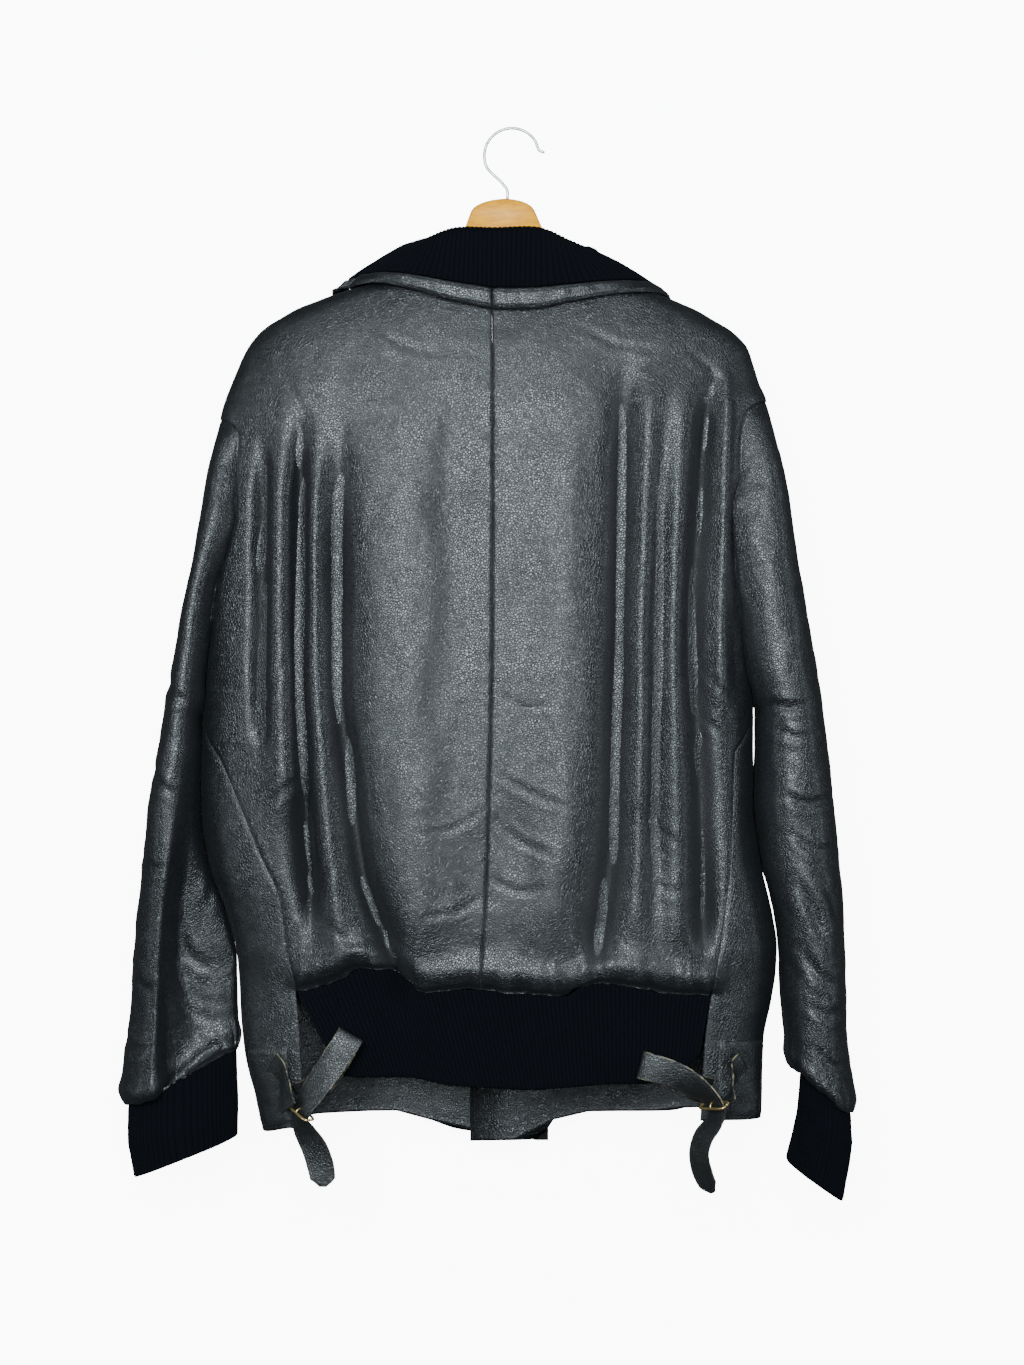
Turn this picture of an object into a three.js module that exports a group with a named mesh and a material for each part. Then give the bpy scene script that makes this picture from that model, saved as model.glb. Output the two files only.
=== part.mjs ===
// A worn black leather jacket with rib-knit collar, cuffs and back waistband, on a wooden hanger.
// Millimetres, +Z up. The origin is the inside top of the hanger's hook. The back of the jacket
// faces -Y, its front faces +Y, and +X is the wearer's right side.
import * as THREE from "three";

// Thicknesses and the gap that sewn pieces keep at a seam.
const LEATHER = 1.4;
const KNIT = 2.2;
const STRAP = 2.0;
const SEAM_GAP = 0.3;
const HALF_GAP = SEAM_GAP / 2;

// Grid counts: how finely each piece follows its shape.
const BACK_COLUMNS = 20;
const FRONT_COLUMNS = 13;
const SLEEVE_COLUMNS = 20;
const COLLAR_COLUMNS = 17;
const FRONT_CROWD = 1.35;
const RIB_PITCH = 3.9;
const RIB_HEIGHT = 0.8;

// The body's own outline: height, then how far the side stands from the middle of the hanger.
// It follows the shoulder to the armhole, and the side of the body below it.
const LEFT_EDGE = [
  [-130, -100], [-148, -161], [-173, -214], [-188, -230], [-199, -237], [-215, -244], [-236, -252],
  [-258, -258], [-330, -264], [-420, -270], [-516, -273], [-608, -275], [-652, -268], [-692, -253],
  [-736, -243], [-816, -237], [-874, -223], [-930, -216],
];
const RIGHT_EDGE = [
  [-134, 80], [-151, 143], [-172, 182], [-183, 199], [-194, 209], [-208, 214], [-226, 219],
  [-242, 225], [-300, 226], [-400, 222], [-510, 214], [-594, 213], [-648, 220], [-700, 232],
  [-725, 235], [-745, 234], [-770, 230], [-807, 223], [-858, 222], [-930, 218],
];
const CENTRE = [[-130, -18], [-244, -17], [-418, -17], [-592, -20], [-679, -23], [-753, -27], [-930, -27]];
const BACK_DEPTH = [
  [-120, 30], [-150, 36], [-200, 43], [-260, 48], [-400, 52], [-600, 53], [-720, 53], [-765, 47], [-930, 43],
];
const FRONT_DEPTH = [
  [-120, 26], [-200, 34], [-260, 42], [-400, 60], [-600, 66], [-760, 64], [-930, 62],
];
const SECTION_POWER = 3;

// Heights of the neck, the tops of the armholes and their lowest points.
const NECK_BACK_Z = -143;
const NECK_FRONT_Z = -206;
const ARM_TOP_Z = { left: -258, right: -242 };
const UNDERARM_Z = { left: -516, right: -510 };
const WAIST_Z = -700;
const SEAM_TURNS_OVER = 40;
const TAIL = [0, 0.42, 0.75, 0.92, 1];

// Seams on the back: height, then place across.
const ARMHOLE = {
  left: [[-258, -258], [-262, -250], [-274, -240], [-305, -242], [-339, -242], [-374, -250], [-402, -258],
    [-453, -266], [-500, -271], [-516, -273]],
  right: [[-242, 225], [-247, 213], [-256, 205], [-275, 201], [-309, 199], [-338, 193], [-383, 194],
    [-418, 197], [-453, 202], [-484, 208], [-503, 213], [-510, 214]],
};
const SIDE_SEAM = {
  left: [[-516, -273], [-543, -262], [-587, -242], [-645, -217], [-676, -203], [-730, -195], [-758, -189],
    [-811, -185], [-885, -182]],
  right: [[-510, 214], [-525, 204], [-549, 196], [-619, 193], [-652, 191], [-681, 187], [-708, 183],
    [-752, 176], [-776, 172], [-811, 168], [-885, 164]],
};
// Place across, then height, of the seam between the leather back and the rib.
const RIB_SEAM = [
  [-189, -759], [-152, -748], [-136, -739], [-107, -740], [-92, -751], [-76, -760], [-36, -757],
  [-10, -759], [34, -762], [50, -763], [67, -754], [80, -752], [111, -755], [140, -761], [176, -763],
];
const RIB_BOTTOM = [
  [-150, -833], [-131, -834], [-93, -834], [-53, -841], [-26, -843], [17, -845], [46, -843],
  [94, -840], [110, -840], [142, -835], [164, -815],
];

// The fronts' hem, place across then height, seen below the rib from inside.
const FRONT_HEM = [
  [-260, -884], [-230, -885], [-197, -880], [-116, -879], [-98, -882], [-71, -896], [-40, -902],
  [-36, -906], [22, -905], [35, -896], [41, -885], [57, -880], [142, -878], [171, -873], [224, -874],
  [260, -870],
];
const PLACKET_EDGE = { left: 33, right: -38 };
const UNDERLAP = 2.2;
const UNDERLAP_GONE = 130;
const UNDERLAP_RUN = 55;
const LAP_STRETCH = 70;

// Large folds of the back and front: the line they follow, half-width, and how far they stand out
// (a groove is negative), with the heights between which they grow to full and die away.
const FOLDS = [
  { line: [[-227, -141], [-271, -148], [-485, -152], [-609, -137], [-663, -128],
    [-718, -108], [-756, -95], [-835, -93]],
    wide: 12, out: -12, from: -235, full: -420, until: -745, gone: -800 },
  {
    line: [[-260, -168], [-480, -170], [-600, -163], [-700, -152]],
    wide: 10, out: 5, from: -250, full: -340, until: -690, gone: -750,
  },
  {
    line: [[-260, -184], [-480, -186], [-600, -184], [-740, -172]],
    wide: 9, out: -9, from: -240, full: -330, until: -620, gone: -720,
  },
  {
    line: [[-260, -200], [-480, -205], [-640, -203]],
    wide: 9, out: 5, from: -240, full: -330, until: -560, gone: -640,
  },
  { line: [[-300, -216], [-560, -222]], wide: 8, out: -7, from: -260, full: -340, until: -500, gone: -560 },
  {
    line: [[-240, -95], [-500, -98], [-700, -80]],
    wide: 34, out: 6, from: -200, full: -420, until: -690, gone: -745,
  },
  { line: [[-230, -52], [-380, -52]], wide: 15, out: -5, from: -215, full: -270, until: -330, gone: -390 },
  { line: [[-600, -186], [-690, -176]], wide: 13, out: -8, from: -570, full: -620, until: -650, gone: -700 },
  {
    line: [[-215, 98], [-420, 92], [-620, 87], [-730, 74]],
    wide: 11, out: -11, from: -190, full: -300, until: -700, gone: -760,
  },
  {
    line: [[-215, 50], [-420, 45], [-620, 42], [-730, 34]],
    wide: 24, out: 5, from: -200, full: -330, until: -680, gone: -740,
  },
  {
    line: [[-215, 120], [-420, 112], [-700, 108]],
    wide: 10, out: 5, from: -200, full: -260, until: -690, gone: -740,
  },
  {
    line: [[-215, 134], [-420, 128], [-700, 124]],
    wide: 7, out: -5, from: -230, full: -320, until: -640, gone: -720,
  },
  {
    line: [[-215, 152], [-420, 143], [-700, 142]],
    wide: 9, out: 5, from: -210, full: -280, until: -690, gone: -740,
  },
  {
    line: [[-203, 176], [-247, 170], [-453, 160], [-592, 166], [-700, 168]],
    wide: 9, out: -11, from: -205, full: -280, until: -680, gone: -745,
  },
  {
    line: [[-210, 186], [-310, 184], [-520, 182]],
    wide: 7, out: 5, from: -205, full: -250, until: -480, gone: -540,
  },
];
const FRONT_FOLDS = [
  { line: [[-260, -150], [-880, -165]], wide: 16, out: -10, from: -260, full: -420, until: -800, gone: -900 },
  { line: [[-260, -90], [-880, -110]], wide: 22, out: 6, from: -260, full: -420, until: -800, gone: -900 },
  { line: [[-240, 118], [-880, 112]], wide: 16, out: -10, from: -240, full: -400, until: -800, gone: -900 },
  { line: [[-240, 165], [-880, 160]], wide: 16, out: 6, from: -240, full: -400, until: -800, gone: -900 },
];
const BLOUSE = { out: 8, above: 15, spread: 13 };

// Sleeves: outer and inner outline, height then place across.
const SLEEVE_OUTER = {
  left: [[-258, -258], [-311, -270], [-382, -282], [-453, -296], [-523, -308], [-594, -320], [-665, -328],
    [-736, -336], [-772, -340], [-807, -347], [-830, -349], [-848, -349], [-862, -345]],
  right: [[-242, 225], [-311, 243], [-382, 254], [-453, 266], [-523, 276], [-594, 285], [-665, 291],
    [-736, 295], [-772, 296], [-807, 299], [-825, 302], [-847, 305], [-872, 304]],
};
const SLEEVE_INNER = {
  left: [[-258, -250], [-305, -244], [-402, -262], [-516, -274],
    [-530, -277], [-608, -279], [-652, -272], [-692, -258],
    [-736, -248], [-801, -244], [-872, -243]],
  right: [[-242, 215], [-300, 201], [-400, 200], [-510, 215.4],
    [-525, 217.4], [-594, 218], [-648, 225], [-700, 237],
    [-740, 243], [-772, 248], [-830, 252], [-872, 254]],
};
const SLEEVE_DEPTH = [[0, 10], [20, 30], [60, 43], [140, 50], [260, 53], [400, 52], [640, 46]];
// The near fold of the left sleeve: where it stops across, and how flat the cloth beyond it lies.
const NEAR_FOLD = [[-516, -276], [-582, -286], [-647, -297], [-692, -303], [-782, -309], [-872, -313]];
const BEYOND_FOLD = [[-530, 1], [-600, 0.62], [-680, 0.3], [-760, 0.18], [-872, 0.12]];
const SLEEVE_STRAIGHT_Z = -736;
const SLEEVE_HEM = {
  left: { outer: -862, inner: -812, front: -845 },
  right: { outer: -870, inner: -829, front: -850 },
};

// Cuffs: the two outline edges from the top ring to the mouth, place across and height of each.
const CUFFS = {
  left: { inner: [[-244, -812], [-243, -866], [-243, -890]],
    outer: [[-338, -862], [-338, -897], [-333, -926]],
    depth: [20, 22, 20], y: -10 },
  right: { inner: [[257, -829], [253, -872], [244, -913]], outer: [[298, -868], [300, -895], [292, -947]],
    depth: [36, 38, 34], y: -4 },
};

// Collar, as quarters of the neck: turn 0 is centre back, 1 the shoulder, 2 centre front.
const COLLAR_FOLD = {
  left: [[-17.5, -42, -93], [-50, -41, -93], [-75, -32, -101],
    [-101, -3, -107], [-97, 24, -123], [-62, 42, -160], [-17.5, 46, -184]],
  right: [[-17.5, -42, -93], [24, -41, -93], [50, -33, -103], [85, -4, -116],
    [82, 24, -130], [44, 42, -162], [-17.5, 46, -184]],
};
// The outer edge of the collar: the turn, then place across, then height.
const COLLAR_EDGE = {
  left: [[0, -17.5, -165], [0.3, -52, -158], [0.55, -90, -147], [0.78, -122, -141], [0.93, -148, -143],
    [1.03, -160, -147], [1.2, -156, -164], [1.5, -120, -205], [2, -22, -250]],
  right: [[0, -17.5, -165], [0.25, 12, -165.5], [0.5, 50, -159], [0.75, 95, -151], [0.92, 128, -148],
    [1.03, 142, -151], [1.2, 138, -167], [1.5, 98, -207], [2, -13, -250]],
};
const BAND_STARTS = 0.76;
const COLLAR_BULGE = 5;
const COLLAR_CLEAR = 4;
const COLLAR_END = 1.97;
const COLLAR_RIBS_PER_SIDE = 35;

const HANGER_THICK = 11;
const ARM_DEEP = 26;
const ARM_ENDS_Z = -200;
const ARM_DROP = 0.75;
const WIRE = 2.6;
const HOOK_RADIUS = 23.2;

const BUTTON_RADIUS = 10;
const BUTTON_SIDES = 12;
const BUTTON_THICK = 2.6;
const BUTTON_X = 6;
const BUTTON_CLEAR = 0.3;
const BUTTON_HEIGHTS = [-262, -372, -482, -592, -702, -812];

// The long adjuster strap: sewn on beside the side seam, turned back on itself at the fold on the
// rib, through the buckle, then hanging as a pointed tail.
const LONG_STRAP = {
  left: [
    { at: [-186, -41.6, -851], across: [-0.5, 0.2, -0.85] },
    { at: [-171, -51, -842], across: [0.5, 0, -0.85] },
    { at: [-155, -53, -822], across: [0.87, 0, -0.5] },
    { at: [-146, -54, -806], across: [0.87, 0, -0.5] },
    { at: [-140.5, -57, -796.5], across: [0.87, 0, -0.5] },
    { at: [-139.5, -61.5, -794.8], across: [0.87, 0, -0.5] },
    { at: [-144, -65, -802.5], across: [0.87, 0, -0.5] },
    { at: [-158, -66.5, -823], across: [0.84, -0.2, -0.5] },
    { at: [-172, -65.5, -843], across: [0.75, -0.5, -0.4] },
    { at: [-180, -63, -854.5], across: [0.66, -0.68, -0.3] },
    { at: [-183, -60.5, -861], across: [0.62, -0.75, -0.2] },
    { at: [-183.5, -58.5, -869], across: [0.68, -0.7, 0] },
    { at: [-179, -57, -879], across: [0.82, -0.55, 0.25] },
    { at: [-171, -56, -893], across: [0.93, -0.25, 0.25] },
    { at: [-166, -55, -908], across: [1, -0.1, 0.1] },
    { at: [-164, -55, -920], across: [1, 0, 0], wide: 22 },
    { at: [-164, -55, -927], across: [1, 0, 0], wide: 6 },
  ],
  right: [
    { at: [172, -36.6, -847], across: [0.4, 0.1, 0.9] },
    { at: [158, -50.5, -841], across: [0.45, 0, 0.9] },
    { at: [141, -53, -831], across: [0.4, 0, 0.9] },
    { at: [122, -54, -824], across: [0.3, 0, 0.95] },
    { at: [113, -57, -821], across: [0.25, 0, 0.95] },
    { at: [112, -61.5, -820.5], across: [0.25, 0, 0.97] },
    { at: [122, -65, -823], across: [0.3, 0, 0.95] },
    { at: [141, -66, -829], across: [0.4, -0.2, 0.88] },
    { at: [158, -65, -839], across: [0.5, -0.5, 0.7] },
    { at: [170, -62.5, -849], across: [0.5, -0.75, 0.4] },
    { at: [174.5, -60.3, -855.5], across: [0.5, -0.8, 0.3] },
    { at: [177, -58.5, -863], across: [0.5, -0.85, 0.2] },
    { at: [174, -57, -872], across: [0.55, -0.82, 0] },
    { at: [166, -55.5, -884], across: [0.6, -0.8, -0.2] },
    { at: [162.5, -55, -898], across: [0.65, -0.75, 0] },
    { at: [165, -55, -913], across: [0.7, -0.7, 0.1] },
    { at: [170, -55, -925], across: [0.75, -0.65, 0.2], wide: 20 },
    { at: [174.5, -55, -932], across: [0.75, -0.65, 0.25], wide: 5 },
  ],
};
const STRAP_WIDE = 24;
const STRAP_STEPS = 2;
const SHORT_STRAP_STEPS = 5;
const SHORT_STRAP_REACH = { left: 4.3, right: 5.6 };

// The buckle's frame: its middle, the way its wide side runs, and the way the strap goes through.
const BUCKLE = {
  left: { at: [-183, -60.5, -861], across: [0.62, -0.75, -0.2] },
  right: { at: [174.5, -60.3, -855.5], across: [0.5, -0.8, 0.3] },
};
const BUCKLE_INNER = [28, 8];
const BUCKLE_BAR = 2.4;

// The short strap: from the hem patch to the buckle's frame.
const SHORT_STRAP_START = { left: [-208, -821], right: [201, -821] };
const SHORT_STRAP_TWIST = { left: [0.5, -0.5, 0.7], right: [0.12, -0.8, 0.6] };

// Small vector helpers.
const add = (a, b) => [a[0] + b[0], a[1] + b[1], a[2] + b[2]];
const sub = (a, b) => [a[0] - b[0], a[1] - b[1], a[2] - b[2]];
const times = (a, k) => [a[0] * k, a[1] * k, a[2] * k];
const dot = (a, b) => a[0] * b[0] + a[1] * b[1] + a[2] * b[2];
const cross = (a, b) => [a[1] * b[2] - a[2] * b[1], a[2] * b[0] - a[0] * b[2], a[0] * b[1] - a[1] * b[0]];
const long = (a) => Math.hypot(a[0], a[1], a[2]);
const unit = (a) => times(a, 1 / Math.max(long(a), 1e-9));
const mix = (a, b, k) => a + (b - a) * k;
const mix3 = (a, b, k) => [mix(a[0], b[0], k), mix(a[1], b[1], k), mix(a[2], b[2], k)];
const clamp01 = (k) => Math.min(1, Math.max(0, k));
const smooth = (k) => clamp01(k) ** 2 * (3 - 2 * clamp01(k));

// A smooth curve through a table of [place, value] pairs that never overshoots them.
function at(table, place) {
  const rising = table[1][0] > table[0][0];
  const rows = rising ? table : [...table].reverse();
  const last = rows.length - 1;
  if (place <= rows[0][0]) return rows[0][1];
  if (place >= rows[last][0]) return rows[last][1];
  let k = 0;
  while (place > rows[k + 1][0]) k += 1;
  const slope = (i) => (rows[i + 1][1] - rows[i][1]) / (rows[i + 1][0] - rows[i][0]);
  const tangent = (i) => {
    if (i === 0) return slope(0);
    if (i === last) return slope(last - 1);
    const before = slope(i - 1);
    const after = slope(i);
    return before * after <= 0 ? 0 : (2 * before * after) / (before + after);
  };
  const wide = rows[k + 1][0] - rows[k][0];
  const t = (place - rows[k][0]) / wide;
  const start = rows[k][1] * (2 * t ** 3 - 3 * t ** 2 + 1) + tangent(k) * wide * (t ** 3 - 2 * t ** 2 + t);
  return start + rows[k + 1][1] * (3 * t ** 2 - 2 * t ** 3) + tangent(k + 1) * wide * (t ** 3 - t ** 2);
}

// A point at fraction t of a smooth curve through hand-set points.
function splinePoint(points, t) {
  const curve = new THREE.CatmullRomCurve3(points.map((p) => new THREE.Vector3(...p)), false, "centripetal");
  return curve.getPoint(clamp01(t)).toArray();
}

// A number of points along a line of points, at even lengths, or closer together towards its end.
function evenly(points, count, crowd = 1) {
  const run = [0];
  for (let i = 1; i < points.length; i += 1) run.push(run[i - 1] + long(sub(points[i], points[i - 1])));
  const total = run[run.length - 1];
  const out = [];
  let k = 0;
  for (let i = 0; i < count; i += 1) {
    const want = total * (1 - (1 - i / (count - 1)) ** crowd);
    while (k < points.length - 2 && run[k + 1] < want) k += 1;
    out.push(mix3(points[k], points[k + 1], (want - run[k]) / Math.max(run[k + 1] - run[k], 1e-9)));
  }
  return out;
}

// A closed wall between an outer and an inner sheet of points. Both have the same rows, and may
// have different columns. A closed wall runs round to its first column again.
function wall(outer, inner, closed = false) {
  const points = [];
  const faces = [];
  const lay = (sheet) => sheet.map((row) => row.map((p) => points.push(p) - 1));
  const o = lay(outer);
  const n = lay(inner);
  const loop = (row) => (closed ? [...row, row[0]] : row);
  const skin = (sheet, turned) => {
    for (let j = 0; j + 1 < sheet.length; j += 1) {
      const a = loop(sheet[j]);
      const b = loop(sheet[j + 1]);
      for (let i = 0; i + 1 < a.length; i += 1) {
        faces.push(turned ? [a[i], a[i + 1], b[i]] : [a[i], b[i], a[i + 1]]);
        faces.push(turned ? [a[i + 1], b[i + 1], b[i]] : [a[i + 1], b[i], b[i + 1]]);
      }
    }
  };
  const stitch = (a, b, turned) => {
    let i = 0;
    let j = 0;
    while (i + 1 < a.length || j + 1 < b.length) {
      const aheadOnB = (i + 1) / (a.length - 1) <= (j + 1) / (b.length - 1);
      const onA = j + 1 >= b.length || (i + 1 < a.length && aheadOnB);
      const face = onA ? [a[i], a[i + 1], b[j]] : [a[i], b[j + 1], b[j]];
      faces.push(turned ? [face[0], face[2], face[1]] : face);
      if (onA) i += 1;
      else j += 1;
    }
  };
  skin(o, false);
  skin(n, true);
  stitch(loop(o[0]), loop(n[0]), false);
  stitch(loop(o[o.length - 1]), loop(n[n.length - 1]), true);
  if (!closed) {
    stitch(o.map((row) => row[0]), n.map((row) => row[0]), true);
    stitch(o.map((row) => row[row.length - 1]), n.map((row) => row[row.length - 1]), false);
  }
  return solid(points, faces);
}

// A geometry from points and faces, turned so that its faces point out.
function solid(points, faces) {
  const volume = faces.reduce((sum, f) => sum + dot(points[f[0]], cross(points[f[1]], points[f[2]])), 0);
  const index = volume < 0 ? faces.map((f) => [f[0], f[2], f[1]]) : faces;
  const geometry = new THREE.BufferGeometry();
  geometry.setAttribute("position", new THREE.Float32BufferAttribute(points.flat(), 3));
  geometry.setIndex(index.flat());
  geometry.computeVertexNormals();
  return geometry;
}

// Outward normals of a sheet of points, from their neighbours. Out is the side that faces away
// from a given inside point of each row.
function normals(sheet, facing) {
  const rows = sheet.length;
  const columns = sheet[0].length;
  return sheet.map((row, j) =>
    row.map((p, i) => {
      const along = sub(row[Math.min(i + 1, columns - 1)], row[Math.max(i - 1, 0)]);
      const down = sub(sheet[Math.min(j + 1, rows - 1)][i], sheet[Math.max(j - 1, 0)][i]);
      return times(unit(cross(along, down)), facing);
    }),
  );
}

const edgeTable = { left: LEFT_EDGE, right: RIGHT_EDGE };
const sideSign = { left: -1, right: 1 };
const other = { left: "right", right: "left" };

// How far the folds stand out at a place on the back or front.
function foldOut(folds, x, z) {
  return folds.reduce((sum, f) => {
    const grown = smooth((f.from - z) / (f.from - f.full));
    const strength = grown * (1 - smooth((f.until - z) / (f.until - f.gone)));
    const off = (x - at(f.line, z)) / f.wide;
    return sum + f.out * strength * Math.exp(-off * off);
  }, 0);
}

// A point of the jacket's body: turn 0 is centre back, 1 the side or shoulder line, 2 centre front.
function bodyPoint(side, turn, z) {
  if (turn < 0) return bodyPoint(other[side], -turn, z);
  if (turn > 2) return bodyPoint(other[side], 4 - turn, z);
  const middle = at(CENTRE, z);
  const half = Math.abs(at(edgeTable[side], z) - middle);
  const angle = (turn * Math.PI) / 2;
  const across = Math.max(Math.sin(angle), 0) ** (2 / SECTION_POWER);
  const deep = Math.abs(Math.cos(angle)) ** (2 / SECTION_POWER);
  const back = turn <= 1;
  const depth = back ? at(BACK_DEPTH, z) : at(FRONT_DEPTH, z);
  const x = middle + sideSign[side] * half * across;
  const y = (back ? -1 : 1) * depth * deep;
  const lean = unit([(sideSign[side] * across ** 2) / half, ((back ? -1 : 1) * deep ** 2) / depth, 0]);
  const seam = at(RIB_SEAM, x);
  const bulge = back && z < seam + 60
    ? BLOUSE.out * Math.exp(-(((z - seam - BLOUSE.above) / BLOUSE.spread) ** 2)) * smooth((z - seam) / 6)
    : 0;
  const folds = (back ? foldOut(FOLDS, x, z) : foldOut(FRONT_FOLDS, x, z)) * smooth(deep * 2.2 - 0.5);
  return add([x, y, z], times(lean, folds + bulge * smooth(deep * 2)));
}

// The turn at which the body reaches a place across, on its back or its front.
function turnAt(side, x, z, front = false) {
  const middle = at(CENTRE, z);
  const share = clamp01(Math.abs(x - middle) / Math.abs(at(edgeTable[side], z) - middle));
  const turn = (Math.asin(share ** (SECTION_POWER / 2)) * 2) / Math.PI;
  return front ? 2 - turn : turn;
}

// The back's outer edge at a height: shoulder line, armhole, then side seam.
function backEdgeTurn(side, z) {
  if (z >= ARM_TOP_Z[side]) return 1;
  if (z >= UNDERARM_Z[side]) return turnAt(side, at(ARMHOLE[side], z), z);
  const below = (UNDERARM_Z[side] - z) / SEAM_TURNS_OVER;
  const level = Math.min(z, UNDERARM_Z[side] - SEAM_TURNS_OVER);
  return mix(1, turnAt(side, at(SIDE_SEAM[side], level), level), Math.min(1, below));
}

// The front's outer edge: shoulder line, front armhole, then the same side seam on the back.
function frontEdgeTurn(side, z) {
  if (z >= ARM_TOP_Z[side]) return 1;
  if (z < UNDERARM_Z[side]) return backEdgeTurn(side, z);
  const down = (ARM_TOP_Z[side] - z) / (ARM_TOP_Z[side] - UNDERARM_Z[side]);
  return 1 + 0.3 * Math.sin(Math.PI * down ** 0.6) ** 0.8;
}

// Rows of a body panel from the neck to the waist: the heights at its middle and at its edge.
function panelRows(side, middleTop) {
  const top = ARM_TOP_Z[side];
  const ridgeTop = edgeTable[side][0][0];
  const upper = [0, 0.16, 0.36, 0.58, 0.8, 1].map((k) => ({
    middle: mix(middleTop, top, k),
    edge: mix(ridgeTop, top, k),
    level: k,
  }));
  const under = UNDERARM_Z[side];
  const shares = [0.01, 0.05, 0.14, 0.27, 0.42, 0.58, 0.74, 0.89, 1];
  const arm = shares.map((k) => mix(top, under, k));
  const lower = [0.035, 0.13, 0.3, 0.5, 0.75, 1].map((k) => mix(under, WAIST_Z, k));
  return [...upper, ...[...arm, ...lower].map((z) => ({ middle: z, edge: z, level: 1 }))];
}

// One row of a panel, from the middle of the back or front to its outer edge.
function panelRow(side, row, front, count) {
  const steps = 90;
  const line = [];
  for (let k = 0; k <= steps; k += 1) {
    const s = k / steps;
    const share = Math.sin((s * Math.PI) / 2) ** 0.85;
    if (row.level < 1) {
      const rise = front ? 1 - Math.sqrt(Math.max(0, 1 - share * share)) : share ** 2.5;
      const z = mix(row.middle, row.edge, rise);
      const middle = at(CENTRE, z);
      const reach = Math.abs(at(edgeTable[side], row.edge) - middle);
      const x = middle + sideSign[side] * reach * share;
      line.push(bodyPoint(side, s === 1 ? 1 : turnAt(side, x, z, front), z));
    } else {
      const end = front ? frontEdgeTurn(side, row.edge) : backEdgeTurn(side, row.edge);
      line.push(bodyPoint(side, front ? mix(2, end, s) : mix(0, end, s), row.edge));
    }
  }
  return evenly(line, count, front ? FRONT_CROWD : 1);
}

// Moves the end points of each row in by half a seam gap.
function drawIn(sheet, first, last) {
  return sheet.map((row) => {
    const n = row.length;
    const out = [...row];
    out[0] = add(row[0], times(unit(sub(row[1], row[0])), first));
    out[n - 1] = add(row[n - 1], times(unit(sub(row[n - 2], row[n - 1])), last));
    return out;
  });
}

// The inner face of a sheet.
function inside(sheet, thick, facing) {
  const n = normals(sheet, facing);
  return sheet.map((row, j) => row.map((p, i) => sub(p, times(n[j][i], thick))));
}

const backSheets = {};
const frontSheets = {};

// Half of the back: its last row follows the seam with the rib.
function backSheet(side) {
  const rows = panelRows(side, NECK_BACK_Z).map((row) => panelRow(side, row, false, BACK_COLUMNS));
  const last = rows.pop();
  TAIL.forEach((k) => {
    rows.push(last.map((p) => {
      const x0 = p[0];
      const z = mix(WAIST_Z, at(RIB_SEAM, x0) + HALF_GAP, k);
      const edge = at(SIDE_SEAM[side], z);
      const middle = at(CENTRE, z);
      const x = mix(middle, edge, (x0 - last[0][0]) / (last[last.length - 1][0] - last[0][0]));
      return bodyPoint(side, turnAt(side, x, z), z);
    }));
  });
  const outer = drawIn(rows, HALF_GAP, HALF_GAP * 1.5);
  return { outer, inner: inside(outer, LEATHER, side === "left" ? 1 : -1) };
}

// Half of the front: from the placket's edge, or the neck, round the side to the back's seam.
function frontSheet(side) {
  const rows = panelRows(side, NECK_FRONT_Z).map((row) => panelRow(side, row, true, FRONT_COLUMNS));
  const seamZ = at(RIB_SEAM, at(SIDE_SEAM[side], -760));
  const level = (z) => panelRow(side, { middle: z, edge: z, level: 1 }, true, FRONT_COLUMNS);
  TAIL.slice(1).forEach((k) => rows.push(level(mix(WAIST_Z, seamZ + HALF_GAP, k))));
  const last = level(-800);
  [0, 0.5, 0.85, 1].forEach((k) => {
    rows.push(last.map((p, i) => {
      const z = mix(-800, at(FRONT_HEM, p[0]), k);
      const row = level(z);
      return row[i];
    }));
  });
  const outer = drawIn(rows.map((row) => lapped(side, row)), 0, HALF_GAP * 1.6);
  return { outer, inner: inside(outer, LEATHER, side === "left" ? -1 : 1), neck: rows[0] };
}

// Where two sheets meet at a seam, their rims lean the same way, so that the gap stays even.
function joinRims(a, columnA, b, columnB, rows) {
  rows.forEach((j) => {
    const leanA = sub(a.outer[j][columnA], a.inner[j][columnA]);
    const leanB = sub(b.outer[j][columnB], b.inner[j][columnB]);
    const lean = times(unit(add(leanA, leanB)), LEATHER);
    a.inner[j][columnA] = sub(a.outer[j][columnA], lean);
    b.inner[j][columnB] = sub(b.outer[j][columnB], lean);
  });
}

// Stretches a front row past the middle to its placket edge. The right front lies under the left.
function lapped(side, row) {
  const edge = PLACKET_EDGE[side];
  const from = row[0][0];
  return row.map((p) => {
    if (p[1] < 0) return p;
    const off = Math.abs(p[0] - from);
    const x = p[0] + (edge - from) * clamp01(1 - off / LAP_STRETCH) ** 1.5;
    const under = side === "right" ? UNDERLAP * smooth((UNDERLAP_GONE - off) / UNDERLAP_RUN) : 0;
    return [x, p[1] - under, p[2]];
  });
}

// The sleeve's section at a height, from the underarm over the back, round the outside, to the
// front and the underarm again. Angle pi is the inner side, 0 the outer side.
function sleevePoint(side, angle, z) {
  const outerX = at(SLEEVE_OUTER[side], z);
  const innerX = at(SLEEVE_INNER[side], z);
  const middle = (outerX + innerX) / 2;
  const half = (outerX - innerX) / 2;
  const depth = at(SLEEVE_DEPTH, ARM_TOP_Z[side] - z);
  const power = 2 / 2.4;
  const c = Math.cos(angle);
  const s = Math.sin(angle);
  const x = middle + half * Math.sign(c) * Math.abs(c) ** power;
  let y = -depth * Math.sign(s) * Math.abs(s) ** power;
  if (side === "left" && s > 0) {
    const beyond = smooth((x - at(NEAR_FOLD, z) + 3) / 15);
    y *= mix(1, at(BEYOND_FOLD, z), beyond);
  }
  return [x, y, z];
}

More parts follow.
